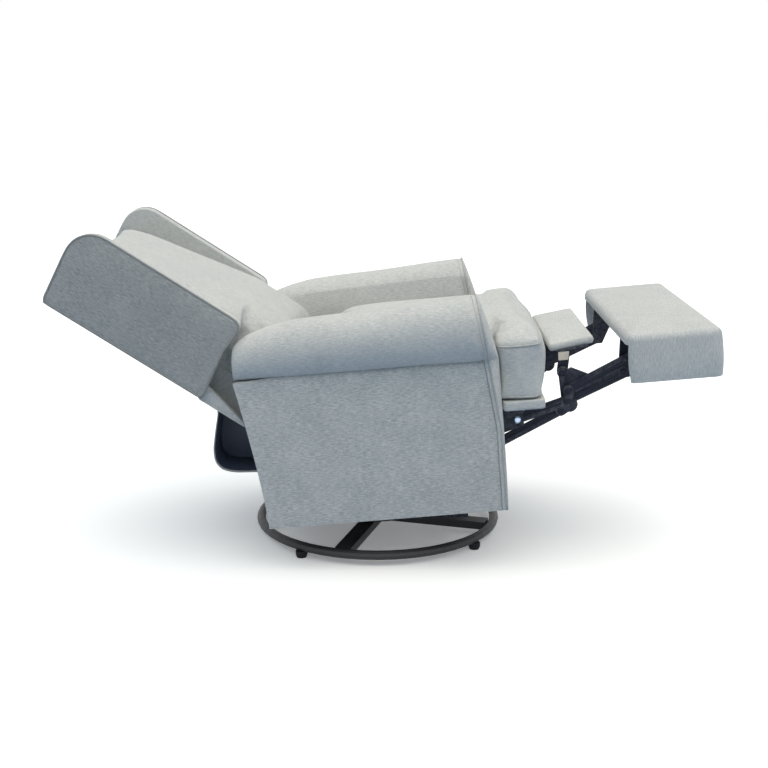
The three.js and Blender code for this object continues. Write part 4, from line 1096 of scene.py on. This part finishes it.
class RECLINER_OT_arm_fronts(ReclinerOperator, bpy.types.Operator):
    """Upholsters the panels on the fronts of the arms, each with a welt round it"""
    bl_idname = "recliner.arm_fronts"
    bl_label = "Arm fronts"

    def execute(self, context):
        material = cloth("panel_cloth", tilt=TILT, turn=1.0)
        # the welt cord is darker than the panel: painted shade of the seam it lies in
        cord = cloth("welt_cloth", tilt=TILT, shade=0.82)
        outline = panel_outline()
        centre = ((ARM["inner"] + ARM["outer"]) / 2, ARM["crease"] - PANEL["middle"])
        for name, sign in SIDES:
            def place(a, b, c):
                face = PANEL["face"] - PANEL["fall"] * np.maximum(0, b - ARM["crease"]) / (2 * ROLL["radius"])
                swell = (face - front_line(b)) / PANEL["bulge"]
                x = front_line(b) + np.where(c > 0, c * swell, c)
                return seat_place(np.column_stack((x, sign * a, b)))

            points, faces = padded(outline, centre, flat_level(-PANEL["pad"]), flat_level(0), place,
                                   crown_high=PANEL["bulge"], rings=12, rows=5)
            panel = new_mesh("front_panel_" + name, points, faces, material)
            dress(panel, "chair_body", "fabric", "arm_front_" + name)
            edge = place(outline[:, 0], outline[:, 1], np.full(len(outline), -PANEL["welt_back"]))
            welt("front_welt_" + name, panel, edge, cord, "chair_body")
        return {"FINISHED"}


class RECLINER_OT_seat_cushion(ReclinerOperator, bpy.types.Operator):
    """Makes the seat's T-shaped cushion, with a welt in its upper and lower seams"""
    bl_idname = "recliner.seat_cushion"
    bl_label = "Seat cushion"

    def execute(self, context):
        look = settings("cushion")
        material = cloth("seat_cloth", tilt=TILT)
        # the welt cords are darker than the cushion: painted shade of the seams they lie in
        cord = cloth("welt_cloth", tilt=TILT, shade=0.82)
        outline = tee(SEAT["rear"], SEAT["waist"], SEAT["front"], SEAT["half"], SEAT["wide"], SEAT["round"])
        centre = (0, SEAT["waist"] + SEAT["round"])

        def place(a, b, c):
            ahead = np.clip((b - SEAT["waist"]) / (SEAT["front"] - SEAT["waist"]), 0, 1)
            fuller = SEAT["belly"] * ahead * (1 - (a / SEAT["wide"]) ** 2)
            return seat_place(np.column_stack((b + fuller, a, c)))

        low, high = flat_level(SEAT["low"] + SEAT["clear"]), flat_level(SEAT["seam"])
        points, faces = padded(outline, centre, low, high, place, crown_high=SEAT["crown"] - CUSHION["give"],
                               draw_in=SEAT["draw_in"], rings=CUSHION["rings"], rows=CUSHION["rows"])
        cushion = new_mesh("seat_cushion_cover", points, faces, material)
        remesh(cushion, look.voxel)
        fill_with_air(cushion, look.pressure, look.cap, look.frames)
        seams = []
        for height in (SEAT["seam"] - SEAT["seam_drop"], SEAT["low"] + SEAT["seam_rise"]):
            path = place(outline[:, 0], outline[:, 1], np.full(len(outline), height))
            seams.append(resample(path, SEAM["step"], True))
        for seam in seams:
            press(cushion, np.vstack((seam, seam[:1])))
        smooth(cushion, 2)
        subdivide(cushion)
        dress(cushion, "chair_body", "fabric", "seat_cushion")
        for label, seam in zip(("upper", "lower"), seams):
            welt("seat_welt_" + label, cushion, seam, cord, "chair_body", SEAM["welt"])
        return {"FINISHED"}


class RECLINER_OT_front_band(ReclinerOperator, bpy.types.Operator):
    """Covers the band under the seat cushion and pads the deck behind it"""
    bl_idname = "recliner.front_band"
    bl_label = "Front band and deck"

    def execute(self, context):
        half = BAND["half"]
        box = [(SEAT["waist"], -half), (BAND["front"], -half), (BAND["front"], half), (SEAT["waist"], half)]
        outline = spread(round_corners(box, SEAT["round"]), 9)

        def place(a, b, c):
            return seat_place(np.column_stack((a, b, c)))

        centre = ((SEAT["waist"] + BAND["front"]) / 2, 0)
        low, high = flat_level(BAND["low"]), flat_level(SEAT["low"] - BAND["clear"])
        points, faces = padded(outline, centre, low, high, place, draw_in=-BAND["bulge"], rings=6, rows=5)
        band = new_mesh("front_band_cover", points, faces, cloth("seat_cloth", tilt=TILT))
        dress(band, "chair_body", "fabric", "seat_front_band")
        rear, front, half = DECK["rear"], DECK["front"], LAYER["plate"] - DECK["side_gap"]
        box = [(rear, -half), (front, -half), (front, half), (rear, half)]
        outline = spread(round_corners(box, DECK["round"]), 12)
        low, high = flat_level(DECK["low"]), flat_level(DECK["high"])
        points, faces = padded(outline, (DECK["middle"], 0), low, high, place, crown_high=DECK["crown"],
                               draw_in=-DECK["bulge"], rings=8, rows=4, power=6.0)
        pad = new_mesh("deck_pad_cover", points, faces, lining_cloth())
        undulate(pad, 0.0004, 0.16)
        dress(pad, "chair_body", "lining", "deck_pad")
        return {"FINISHED"}


class RECLINER_OT_back_cushion(ReclinerOperator, bpy.types.Operator):
    """Makes the back's cushion, narrow between the arms and wide between the wings"""
    bl_idname = "recliner.back_cushion"
    bl_label = "Back cushion"

    def execute(self, context):
        look = settings("cushion")
        material = cloth("back_cloth", tilt=TILT + LEAN, turn=1.0)
        outline = tee(BACK["foot"], BACK["waist"], BACK["top"], BACK["half"], BACK["wide"], BACK["round"])
        slope = (BACK["face"] - BACK["top_face"]) / (BACK["top"] - BACK["waist"])

        def face(a, b):
            return BACK["face"] - slope * np.maximum(0, b - BACK["waist"])

        def place(a, b, c):
            return back_place(np.column_stack((c, a, b)))

        centre, low = (0, BACK["waist"] + BACK["middle"]), flat_level(BACK["post_front"] + BACK["clear"])
        points, faces = padded(outline, centre, low, face, place, crown_high=BACK["crown"] - CUSHION["give"],
                               draw_in=BACK["draw_in"], rings=CUSHION["rings"], rows=CUSHION["rows"])
        cushion = new_mesh("back_cushion_cover", points, faces, material)
        remesh(cushion, look.voxel)
        fill_with_air(cushion, look.pressure, look.cap, look.frames)
        smooth(cushion, 2)
        subdivide(cushion)
        dress(cushion, "back", "fabric", "back_cushion")
        return {"FINISHED"}


def wing_outline():
    """A wing's outline as (out of the back's face, up the back), with a round upper front corner."""
    rear, front, foot, top, corner = (WING[key] for key in ("rear", "front", "foot", "top", "corner"))
    edge = [(-rear, foot - WING["lift"]), (-rear, top - WING["lift"]), (0, top)]
    steps = WING["corner_steps"]
    for k in range(steps + 1):
        angle = math.radians(90 - 90 * k / steps)
        edge.append((front - corner + corner * math.cos(angle), top - corner + corner * math.sin(angle)))
    edge += [(front + out, foot + up) for out, up in WING_TOE] + [(0, foot + WING["rise"])]
    return spread(edge, 9)


class RECLINER_OT_wings(ReclinerOperator, bpy.types.Operator):
    """Upholsters the wings beside the back, with a welt round the outer face"""
    bl_idname = "recliner.wings"
    bl_label = "Wings"

    def execute(self, context):
        material = cloth("wing_cloth", tilt=TILT + LEAN, turn=1.0)
        # a darker copy of the wing's cloth for its outer face: painted shade on the face that stands in
        # shadow
        outside = cloth("wing_outside_painted_shade_cloth", tilt=TILT + LEAN, turn=1.0, shade=0.68, contrast=1.8)
        # the wing's welt is much darker than the wing: painted shade of the seam round the wing's face
        cord = cloth("wing_welt_cloth", tilt=TILT + LEAN, shade=0.5)
        outline = wing_outline()
        centre = ((WING["front"] - WING["rear"]) / 2, (WING["foot"] + WING["top"]) / 2)
        for name, sign in SIDES:
            def place(a, b, c):
                behind = np.clip((WING["front"] - a) / (WING["front"] + WING["rear"]), 0, 1)
                outside = np.clip((c - BACK["wide"]) / (WING["outer"] - BACK["wide"]), 0, 1)
                across = c - WING["narrow"] * behind * outside
                return back_place(np.column_stack((a, sign * across, b)))

            seam = WING["outer"] - WING["crown"]
            points, faces = padded(outline, centre, flat_level(BACK["wide"] + WING["gap"]), flat_level(seam),
                                   place, crown_high=WING["crown"], draw_in=-WING["bulge"])
            wing = new_mesh("wing_cover_" + name, points, faces, material)
            # faces turned outwards take the darker copy: painted shade
            wing.data.materials.append(outside)
            for face in wing.data.polygons:
                if sign * face.normal.y > 0.6:
                    face.material_index = 1
            dress(wing, "back", "fabric", "wing_" + name)
            edge = place(outline[:, 0], outline[:, 1], np.full(len(outline), seam - WING["welt_back"]))
            welt("wing_welt_" + name, wing, edge, cord, "back")
        return {"FINISHED"}


def capped(rings):
    """A skin over rings, with a flat lid on the first ring and on the last."""
    points, faces = skin(rings)
    count = len(rings[0])
    last = (len(rings) - 1) * count
    faces += [tuple(range(count))[::-1], tuple(range(last, last + count))]
    return points, faces


def slab(name, outline, near, far, place, material, step):
    """A board or a sheet over an outline of (first, second) points, between two places across."""
    outline = spread(round_corners(outline, SLAB["corner"], 3), step)
    middle = outline.mean(axis=0)
    reach = np.abs(outline - middle).max(axis=0)
    edge = SLAB["edge"]
    rings = []
    for across, inset in ((near, edge), (near, 0.0), ((near + far) / 2, 0.0), (far, 0.0), (far, edge)):
        flat = middle + (outline - middle) * (1 - inset / reach)
        rings.append(across_place(place, flat[:, 0], flat[:, 1], across))
    points, faces = capped(rings)
    piece = new_mesh(name, points, faces, material)
    piece.data.set_sharp_from_angle(angle=math.radians(30.0))
    return piece


def flap_faces(rows, columns):
    """Faces of a sheet with two sides: its two grids of points, and the rim between them."""
    offset = rows * columns
    faces = []
    for k in range(rows - 1):
        for i in range(columns - 1):
            a = k * columns + i
            b = offset + a
            faces.append((a, a + 1, a + columns + 1, a + columns))
            faces.append((b, b + columns, b + columns + 1, b + 1))
    rim = [k * columns for k in range(rows)] + [(rows - 1) * columns + i for i in range(1, columns)]
    rim += [k * columns + columns - 1 for k in range(rows - 2, -1, -1)] + list(range(columns - 2, 0, -1))
    faces += [(a, b, b + offset, a + offset) for a, b in zip(rim, rim[1:] + rim[:1])]
    return faces


def flap_line():
    """The flap's path down from the back's foot and forward under the seat, with its normals."""
    route = even_out(resample(np.array([(x, 0, z) for x, z in FLAP_ROUTE], float), FLAP["step"]), 4)
    tangent = np.gradient(route, axis=0)
    tangent /= np.linalg.norm(tangent, axis=1)[:, None]
    return route, np.column_stack((-tangent[:, 2], np.zeros(len(route)), tangent[:, 0]))


def flap_mesh(route, normal):
    """The flap, a loose sheet with soft folds down it, and lining on its inner side."""
    across = np.linspace(-FLAP["half"], FLAP["half"], FLAP["columns"])
    share = np.linspace(0, 1, len(route))
    loose = np.sin(math.pi * share) ** 2
    short, long = FLAP["folds"]
    rings = []
    for side in (1.0, -1.0):
        for k in range(len(route)):
            fold = np.sin(across / short + 1.2 * np.sin(across / long) + 2.5 * share[k])
            sag = FLAP["sag"] * loose[k] * fold
            row = route[k] + normal[k] * side * FLAP["half_thick"]
            grid = np.column_stack((row[0] + normal[k][0] * sag, across, row[2] + normal[k][2] * sag))
            rings.append(seat_place(grid))
    faces = flap_faces(len(route), len(across))
    # the flap's cloth is darker than the other covers: painted shade, as the flap hangs in shadow under the
    # back
    material = cloth("flap_cloth", tilt=TILT, turn=1.0, shade=0.8)
    flap = new_mesh("dust_flap_cover", np.vstack(rings), faces, material)
    flap.data.materials.append(lining_cloth())
    inner = len(route) * len(across)
    hem = (FLAP["half"] - FLAP["hem"]) * MM
    for face in flap.data.polygons:
        if all(v < inner and abs(flap.data.vertices[v].co.y) < hem for v in face.vertices):
            face.material_index = 1
    return flap


class RECLINER_OT_outer_back(ReclinerOperator, bpy.types.Operator):
    """Covers the outer back, and hangs the loose dust flap under it"""
    bl_idname = "recliner.outer_back"
    bl_label = "Outer back and flap"

    def execute(self, context):
        material = cloth("outer_back_cloth", tilt=TILT + LEAN)
        top, foot, waist = BACK["top"], BACK["panel_foot"], BACK["waist"] - BACK["panel"]
        half, wide = BACK["panel_half"], BACK["wide"]
        side = [(half, foot), (half, waist), (wide, waist), (wide, top)]
        corners = side + [(-a, b) for a, b in reversed(side)]
        outline = spread(round_corners(corners, BACK["panel_round"], 3), 14)

        def place(a, b, c):
            return back_place(np.column_stack((c, a, b)))

        low, high = flat_level(-BACK["rear"]), flat_level(-BACK["rear"] + BACK["panel"])
        points, faces = padded(outline, (0, (top + foot) / 2), low, high, place, rings=12, rows=3)
        panel = new_mesh("outer_back_cover", points, faces, material)
        dress(panel, "back", "fabric", "back_outer_panel")

        for name, sign in SIDES:
            place = mirrored(back_place, sign)
            for label, shape, inner, outer in BACK_SIDES:
                piece = slab("back_" + label + "_" + name, shape, inner, outer, place, material, 4.0)
                dress(piece, "back", "fabric")
        half = BACK["wide"] - BACK["side_gap"]
        head = slab("back_top_cover", BACK_TOP, -half, half, back_place, material, 4.0)
        dress(head, "back", "fabric")

        route, normal = flap_line()
        flap = flap_mesh(route, normal)
        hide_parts("dust_flap")
        start, above = seat_place(FLAP_BEND)
        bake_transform(flap)
        length = float(np.linalg.norm(np.diff(route, axis=0), axis=1).sum()) * MM

        # dark sheets close the flap's two ends, inside it: painted shade, standing for the deep shade inside
        # the flap
        spine = FLAP_END["spine"]
        edge = [(x, z) for x, _, z in route + normal * FLAP_END["inset"] if x < spine - FLAP_END["clear"]]
        outline = edge + [(spine, edge[-1][1]), (spine, edge[0][1] - FLAP_END["drop"])]
        near, far = FLAP_END["near"], FLAP_END["near"] + FLAP_END["thick"]
        for name, sign in SIDES:
            place = mirrored(seat_place, sign)
            end = slab("flap_painted_shade_end_" + name, outline, near, far, place, lining_cloth(), 8.0)
            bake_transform(end)
        return {"FINISHED"}


def box_ring(a0, a1, half, radius, steps=6):
    """A rectangle's outline with round corners, always with the same number of points."""
    low, high, side = a0 + radius, a1 - radius, half - radius
    corners = ((high, side), (low, side), (low, -side), (high, -side))

    def arc_point(k, turn):
        a, b = corners[k % 4]
        return a + radius * math.cos(turn), b + radius * math.sin(turn)

    done = []
    for k in range(4):
        first, last = math.pi / 2 * k, math.pi / 2 * (k + 1)
        done += [arc_point(k, turn) for turn in np.linspace(first, last, steps + 1)]
        start, stop = done[-1], arc_point(k + 1, last)
        count = OTTOMAN["columns"][k % 2]
        for i in range(1, count):
            done.append(tuple(start[j] + (stop[j] - start[j]) * i / count for j in (0, 1)))
    return np.array(done)


def gathers(points):
    """Soft upright folds where the ottoman's cloth is drawn in at its sides."""
    x, y, z = points.T
    fade, (close, drift, fuller) = GATHERS["fade"], GATHERS["folds"]
    drop = np.clip((OTTOMAN["seam"] - z) / (OTTOMAN["seam"] - OTTOMAN["low"]), 0, 1)
    flank = np.clip((np.abs(y) - OTTOMAN["half"] + GATHERS["reach"]) / fade, 0, 1) * drop ** 1.2
    wave = np.sin(x / close + 1.4 * np.sin(x / drift) + np.sign(y)) * (0.6 + 0.4 * np.sin(x / fuller))
    end = np.clip((x - OTTOMAN["front"] + fade) / fade, 0, 1) * drop
    close, drift = GATHERS["ripple"]
    ripple = np.sin(y / close + 1.5 * np.sin(y / drift))
    inward = np.sign(y) * GATHERS["side"] * flank * wave
    return np.column_stack((x + GATHERS["end"] * end * ripple, y - inward, z))


def hollow(piece, outline, half):
    """Cuts a room with an outline of (x, height) out of a piece, as wide as twice the half."""
    outline = np.array(outline, float)
    rings = [across_place(seat_place, outline[:, 0], outline[:, 1], y) for y in (-half, half)]
    points, faces = skin(rings)
    count = len(outline)
    faces += [tuple(range(count)), tuple(range(count, 2 * count))[::-1]]
    room = new_mesh(piece.name + "_room", points, faces, piece.data.materials[0])
    modifier = piece.modifiers.new("Room", "BOOLEAN")
    modifier.operation = "DIFFERENCE"
    modifier.solver = "EXACT"
    modifier.object = room
    bake_modifiers(piece)
    piece.data.set_sharp_from_angle(angle=math.radians(50.0))
    bpy.data.objects.remove(room)


class RECLINER_OT_ottoman(ReclinerOperator, bpy.types.Operator):
    """Upholsters the ottoman on its board"""
    bl_idname = "recliner.ottoman"
    bl_label = "Ottoman"

    def execute(self, context):
        material = cloth("ottoman_cloth", tilt=TILT, turn=1.0)
        rear, front, half, low, top = (OTTOMAN[key] for key in ("rear", "front", "half", "low", "top"))
        edge, crown = OTTOMAN["edge"], OTTOMAN["swell"]
        middle = [(rear + front) / 2, 0.0]

        def ring(inset, z, size=1.0):
            corner = max(OTTOMAN["least_round"], OTTOMAN["round"] - OTTOMAN["round_loss"] * max(0.0, inset))
            flat = box_ring(rear + inset, front - inset, half - inset, corner)
            flat = middle + (flat - middle) * size
            return np.column_stack((flat, np.full(len(flat), float(z))))

        rings = []
        brink = top - crown
        count = OTTOMAN["top_rings"]
        for k in range(1, count):
            share = math.sin(math.pi / 2 * k / count)
            rings.append(ring(edge, brink + crown * (1 - share ** OTTOMAN["power"]), share))
        count = OTTOMAN["edge_rings"]
        for k in range(count + 1):
            turn = math.pi / 2 * k / count
            rings.append(ring(edge * (1 - math.sin(turn)), brink - edge * (1 - math.cos(turn))))
        shoulder = brink - edge
        count = OTTOMAN["side_rings"]
        for k in range(1, count + 1):
            share = k / count
            out = OTTOMAN["bulge"] * math.sin(math.pi * share) - OTTOMAN["draw_in"] * share ** 6
            rings.append(ring(-out, shoulder + (low - shoulder) * share))
        rings = [seat_place(gathers(points)) for points in rings]
        points, faces = skin(rings, *[seat_place([(*middle, z)]) for z in (top, low)])
        cover = new_mesh("ottoman_cover_cloth", points, faces, material)
        skirt, under = OTTOMAN["skirt"], OTTOMAN["seam"] + OTTOMAN["board"]
        behind, beneath = rear - OTTOMAN["past"][0], low - OTTOMAN["past"][1]
        inside = [(behind, beneath), (front - skirt, beneath), (front - skirt, under), (rear + skirt, under),
                  (rear + skirt, OTTOMAN["lip"]), (behind, OTTOMAN["lip"])]
        hollow(cover, inside, half - skirt)
        dress(cover, "ottoman", "fabric", "ottoman_cover")
        return {"FINISHED"}


class RECLINER_OT_flipper(ReclinerOperator, bpy.types.Operator):
    """Upholsters the small pad between the seat and the ottoman"""
    bl_idname = "recliner.flipper"
    bl_label = "Flipper pad"

    def execute(self, context):
        half, long = FLIPPER["half"], FLIPPER["length"] / 2
        box = [(-long, -half), (long, -half), (long, half), (-long, half)]
        outline = spread(round_corners(box, FLIPPER["round"]), 6)

        def place(a, b, c):
            return flipper_place(np.column_stack((a, b, c)))

        low = flat_level(-FLIPPER["thick"] / 2 + SHEET + FLIPPER["board_gap"])
        high = flat_level(FLIPPER["thick"] / 2 - FLIPPER["crown"])
        points, faces = padded(outline, (0, 0), low, high, place, crown_high=FLIPPER["crown"],
                               draw_in=-FLIPPER["bulge"], rings=10, rows=8)
        material = cloth("flipper_cloth", tilt=TILT + math.radians(FLIPPER["slope"]), turn=1.0)
        pad = new_mesh("flipper_pad_cover", points, faces, material)
        dress(pad, "flipper", "fabric", "flipper_pad")
        return {"FINISHED"}


def lathe_across(name, pivot, y, profile, material, sides=24):
    """A turned head on a pivot: profile gives (radius, distance out from y)."""
    outward = 1.0 if y > 0 else -1.0
    x, z = pivot
    turns = np.linspace(0, 2 * math.pi, sides, endpoint=False)
    rings = []
    for radius, out in profile:
        first, second = x + radius * np.cos(turns), z + radius * np.sin(turns)
        rings.append(across_place(seat_place, first, second, y + outward * out))
    return new_mesh(name, *skin(rings, rings[0].mean(axis=0), rings[-1].mean(axis=0)), material)


def rib(name, start, stop, width, y, body):
    """A low rounded rib pressed along a link."""
    start, stop = np.array(start, float), np.array(stop, float)
    along = stop - start
    length = np.linalg.norm(along)
    along /= length
    side = np.array([-along[1], along[0]])
    rings = []
    outward = 1.0 if y > 0 else -1.0
    for share, rise in RIB_RISES:
        reach = width / 2 * share
        outline = []
        for end, turn in ((stop - along * RIB_END, -math.pi / 2), (start + along * RIB_END, math.pi / 2)):
            for k in range(9):
                t = turn + math.pi * k / 8
                outline.append(end + reach * (math.cos(t) * along + math.sin(t) * side))
        outline = np.array(outline)
        rings.append(across_place(seat_place, outline[:, 0], outline[:, 1], y + outward * rise))
    dress(new_mesh(name, *capped(rings), mechanism_paint()), body, "mechanism_steel")


class RECLINER_OT_fasteners(ReclinerOperator, bpy.types.Operator):
    """Puts heads on the mechanism's rivets and bolts"""
    bl_idname = "recliner.fasteners"
    bl_label = "Fasteners"

    def execute(self, context):
        radius = settings("metal").head / MM
        for side, sign in SIDES:
            place = mirrored(seat_place, sign)
            for pivot, layer, body in HEADS:
                bolt = pivot in ("crank", "torque")
                tall = HEAD["bolt"] if bolt else HEAD["rivet"]
                profile = [(radius * HEAD_SHARES[0][0], HEAD["gap"])]
                profile += [(radius * wide, tall * out) for wide, out in HEAD_SHARES]
                out = sign * (LAYER[layer] + SHEET)
                material = bright_bolt() if bolt else mechanism_paint()
                head = lathe_across("head_" + pivot + "_" + side, PIVOT[pivot], out, profile, material)
                dress(head, body, "zinc" if bolt else "mechanism_steel")
            for first, second, layer, body, wide in RIBS:
                name, out = "rib_" + first + "_" + second + "_" + side, sign * (LAYER[layer] + SHEET)
                rib(name, PIVOT[first], PIVOT[second], wide, out, body)
            near, far = (LAYER["flipper"] + SHEET + depth for depth in FLIPPER_CLIP_DEPTHS)
            piece = slab("flipper_clip_" + side, FLIPPER_CLIP, near, far, place, clip_enamel(), 4.0)
            dress(piece, "flipper", "zinc")
        return {"FINISHED"}


class RECLINER_OT_studio(ReclinerOperator, bpy.types.Operator):
    """Sets the floor, the lamps, the sky and the camera"""
    bl_idname = "recliner.studio"
    bl_label = "Studio"

    def execute(self, context):
        look = settings("studio")
        scene = context.scene
        scene.view_settings.view_transform = "Standard"

        size = FLOOR_HALF
        corners = [(-size, -size, 0), (size, -size, 0), (size, size, 0), (-size, size, 0)]
        mesh = bpy.data.meshes.new("studio_floor")
        mesh.from_pydata(corners, [], [(0, 1, 2, 3)])
        floor = bpy.data.objects.new("studio_floor", mesh)
        scene.collection.objects.link(floor)
        material, web, shader = new_material("studio_floor")
        rays = web.node("ShaderNodeLightPath").outputs
        seen = web.maths("MAXIMUM", rays["Is Camera Ray"], rays["Is Glossy Ray"])
        web.put(shader.inputs["Base Color"], web.mix(seen, colour4(look.bounce), colour4(look.floor), "RGBA"))
        shader.inputs["Roughness"].default_value = 0.9
        shader.inputs["Specular IOR Level"].default_value = 0.1
        shader.inputs["Emission Color"].default_value = (1, 1, 1, 1)
        web.put(shader.inputs["Emission Strength"], web.maths("MULTIPLY", seen, look.glow))
        floor.data.materials.append(material)

        world = scene.world or bpy.data.worlds.new("studio_sky")
        scene.world = world
        world.use_nodes = True
        tree = world.node_tree
        tree.nodes.clear()
        web = Web(tree)
        rays = web.node("ShaderNodeLightPath").outputs
        seen = web.maths("MAXIMUM", rays["Is Glossy Ray"], rays["Is Transmission Ray"])
        seen = web.maths("MAXIMUM", rays["Is Camera Ray"], seen)
        around = web.node("ShaderNodeBackground")
        around.inputs["Color"].default_value = SKY
        around.inputs["Strength"].default_value = look.sky
        white = web.node("ShaderNodeBackground")
        white.inputs["Color"].default_value = (1, 1, 1, 1)
        pick = web.node("ShaderNodeMixShader")
        web.put(pick.inputs[0], seen)
        web.put(pick.inputs[1], around.outputs[0])
        web.put(pick.inputs[2], white.outputs[0])
        output = web.node("ShaderNodeOutputWorld")
        web.put(output.inputs[0], pick.outputs[0])

        for name, towards, width, power, colour in LAMPS:
            data = bpy.data.lights.new(name, "SUN")
            data.angle = math.radians(width)
            data.energy = getattr(look, power) * math.pi
            data.color = colour
            lamp = bpy.data.objects.new(name, data)
            scene.collection.objects.link(lamp)
            lamp.location = towards
            lamp.rotation_euler = Vector(towards).to_track_quat("Z", "Y").to_euler()

        data = bpy.data.cameras.new("studio_camera")
        data.lens = look.lens
        data.sensor_width = CAMERA["sensor"]
        camera = bpy.data.objects.new("studio_camera", data)
        scene.collection.objects.link(camera)
        yaw, pitch = math.radians(CAMERA["yaw"]), math.radians(CAMERA["pitch"])
        ahead = Vector((math.sin(yaw) * math.cos(pitch), math.cos(yaw) * math.cos(pitch), -math.sin(pitch)))
        camera.location = CAMERA["place"]
        camera.rotation_euler = ahead.to_track_quat("-Z", "Y").to_euler()
        scene.camera = camera
        return {"FINISHED"}


OPERATORS = (
    RECLINER_OT_base, RECLINER_OT_mechanism, RECLINER_OT_woodwork, RECLINER_OT_arm_rolls,
    RECLINER_OT_arm_sides, RECLINER_OT_arm_fronts, RECLINER_OT_seat_cushion, RECLINER_OT_front_band,
    RECLINER_OT_back_cushion, RECLINER_OT_wings, RECLINER_OT_outer_back, RECLINER_OT_ottoman,
    RECLINER_OT_flipper, RECLINER_OT_fasteners, RECLINER_OT_studio,
)
SETTINGS = {
    "cloth": ClothSettings, "cushion": CushionSettings, "metal": MetalSettings, "studio": StudioSettings,
}


class RECLINER_PT_panel(bpy.types.Panel):
    bl_label = "Recliner"
    bl_idname = "RECLINER_PT_panel"
    bl_space_type = "VIEW_3D"
    bl_region_type = "UI"
    bl_category = "Recliner"

    def draw(self, context):
        for name, kind in SETTINGS.items():
            box = self.layout.box()
            box.label(text=name.capitalize())
            for key in kind.__annotations__:
                box.prop(settings(name), key)
        for operator in OPERATORS:
            self.layout.operator(operator.bl_idname)


def register():
    for kind in (*SETTINGS.values(), *OPERATORS, RECLINER_PT_panel):
        bpy.utils.register_class(kind)
    for name, kind in SETTINGS.items():
        setattr(bpy.types.Scene, "recliner_" + name, PointerProperty(type=kind))


def unregister():
    for name in SETTINGS:
        delattr(bpy.types.Scene, "recliner_" + name)
    for kind in (RECLINER_PT_panel, *reversed(OPERATORS), *reversed(list(SETTINGS.values()))):
        bpy.utils.unregister_class(kind)


def main():
    register()
    for operator in OPERATORS:
        step = operator.bl_idname.split(".")[1]
        if getattr(bpy.ops.recliner, step)() != {"FINISHED"}:
            raise RuntimeError(operator.bl_label + " wasn't finished")


if __name__ == "__main__":
    main()
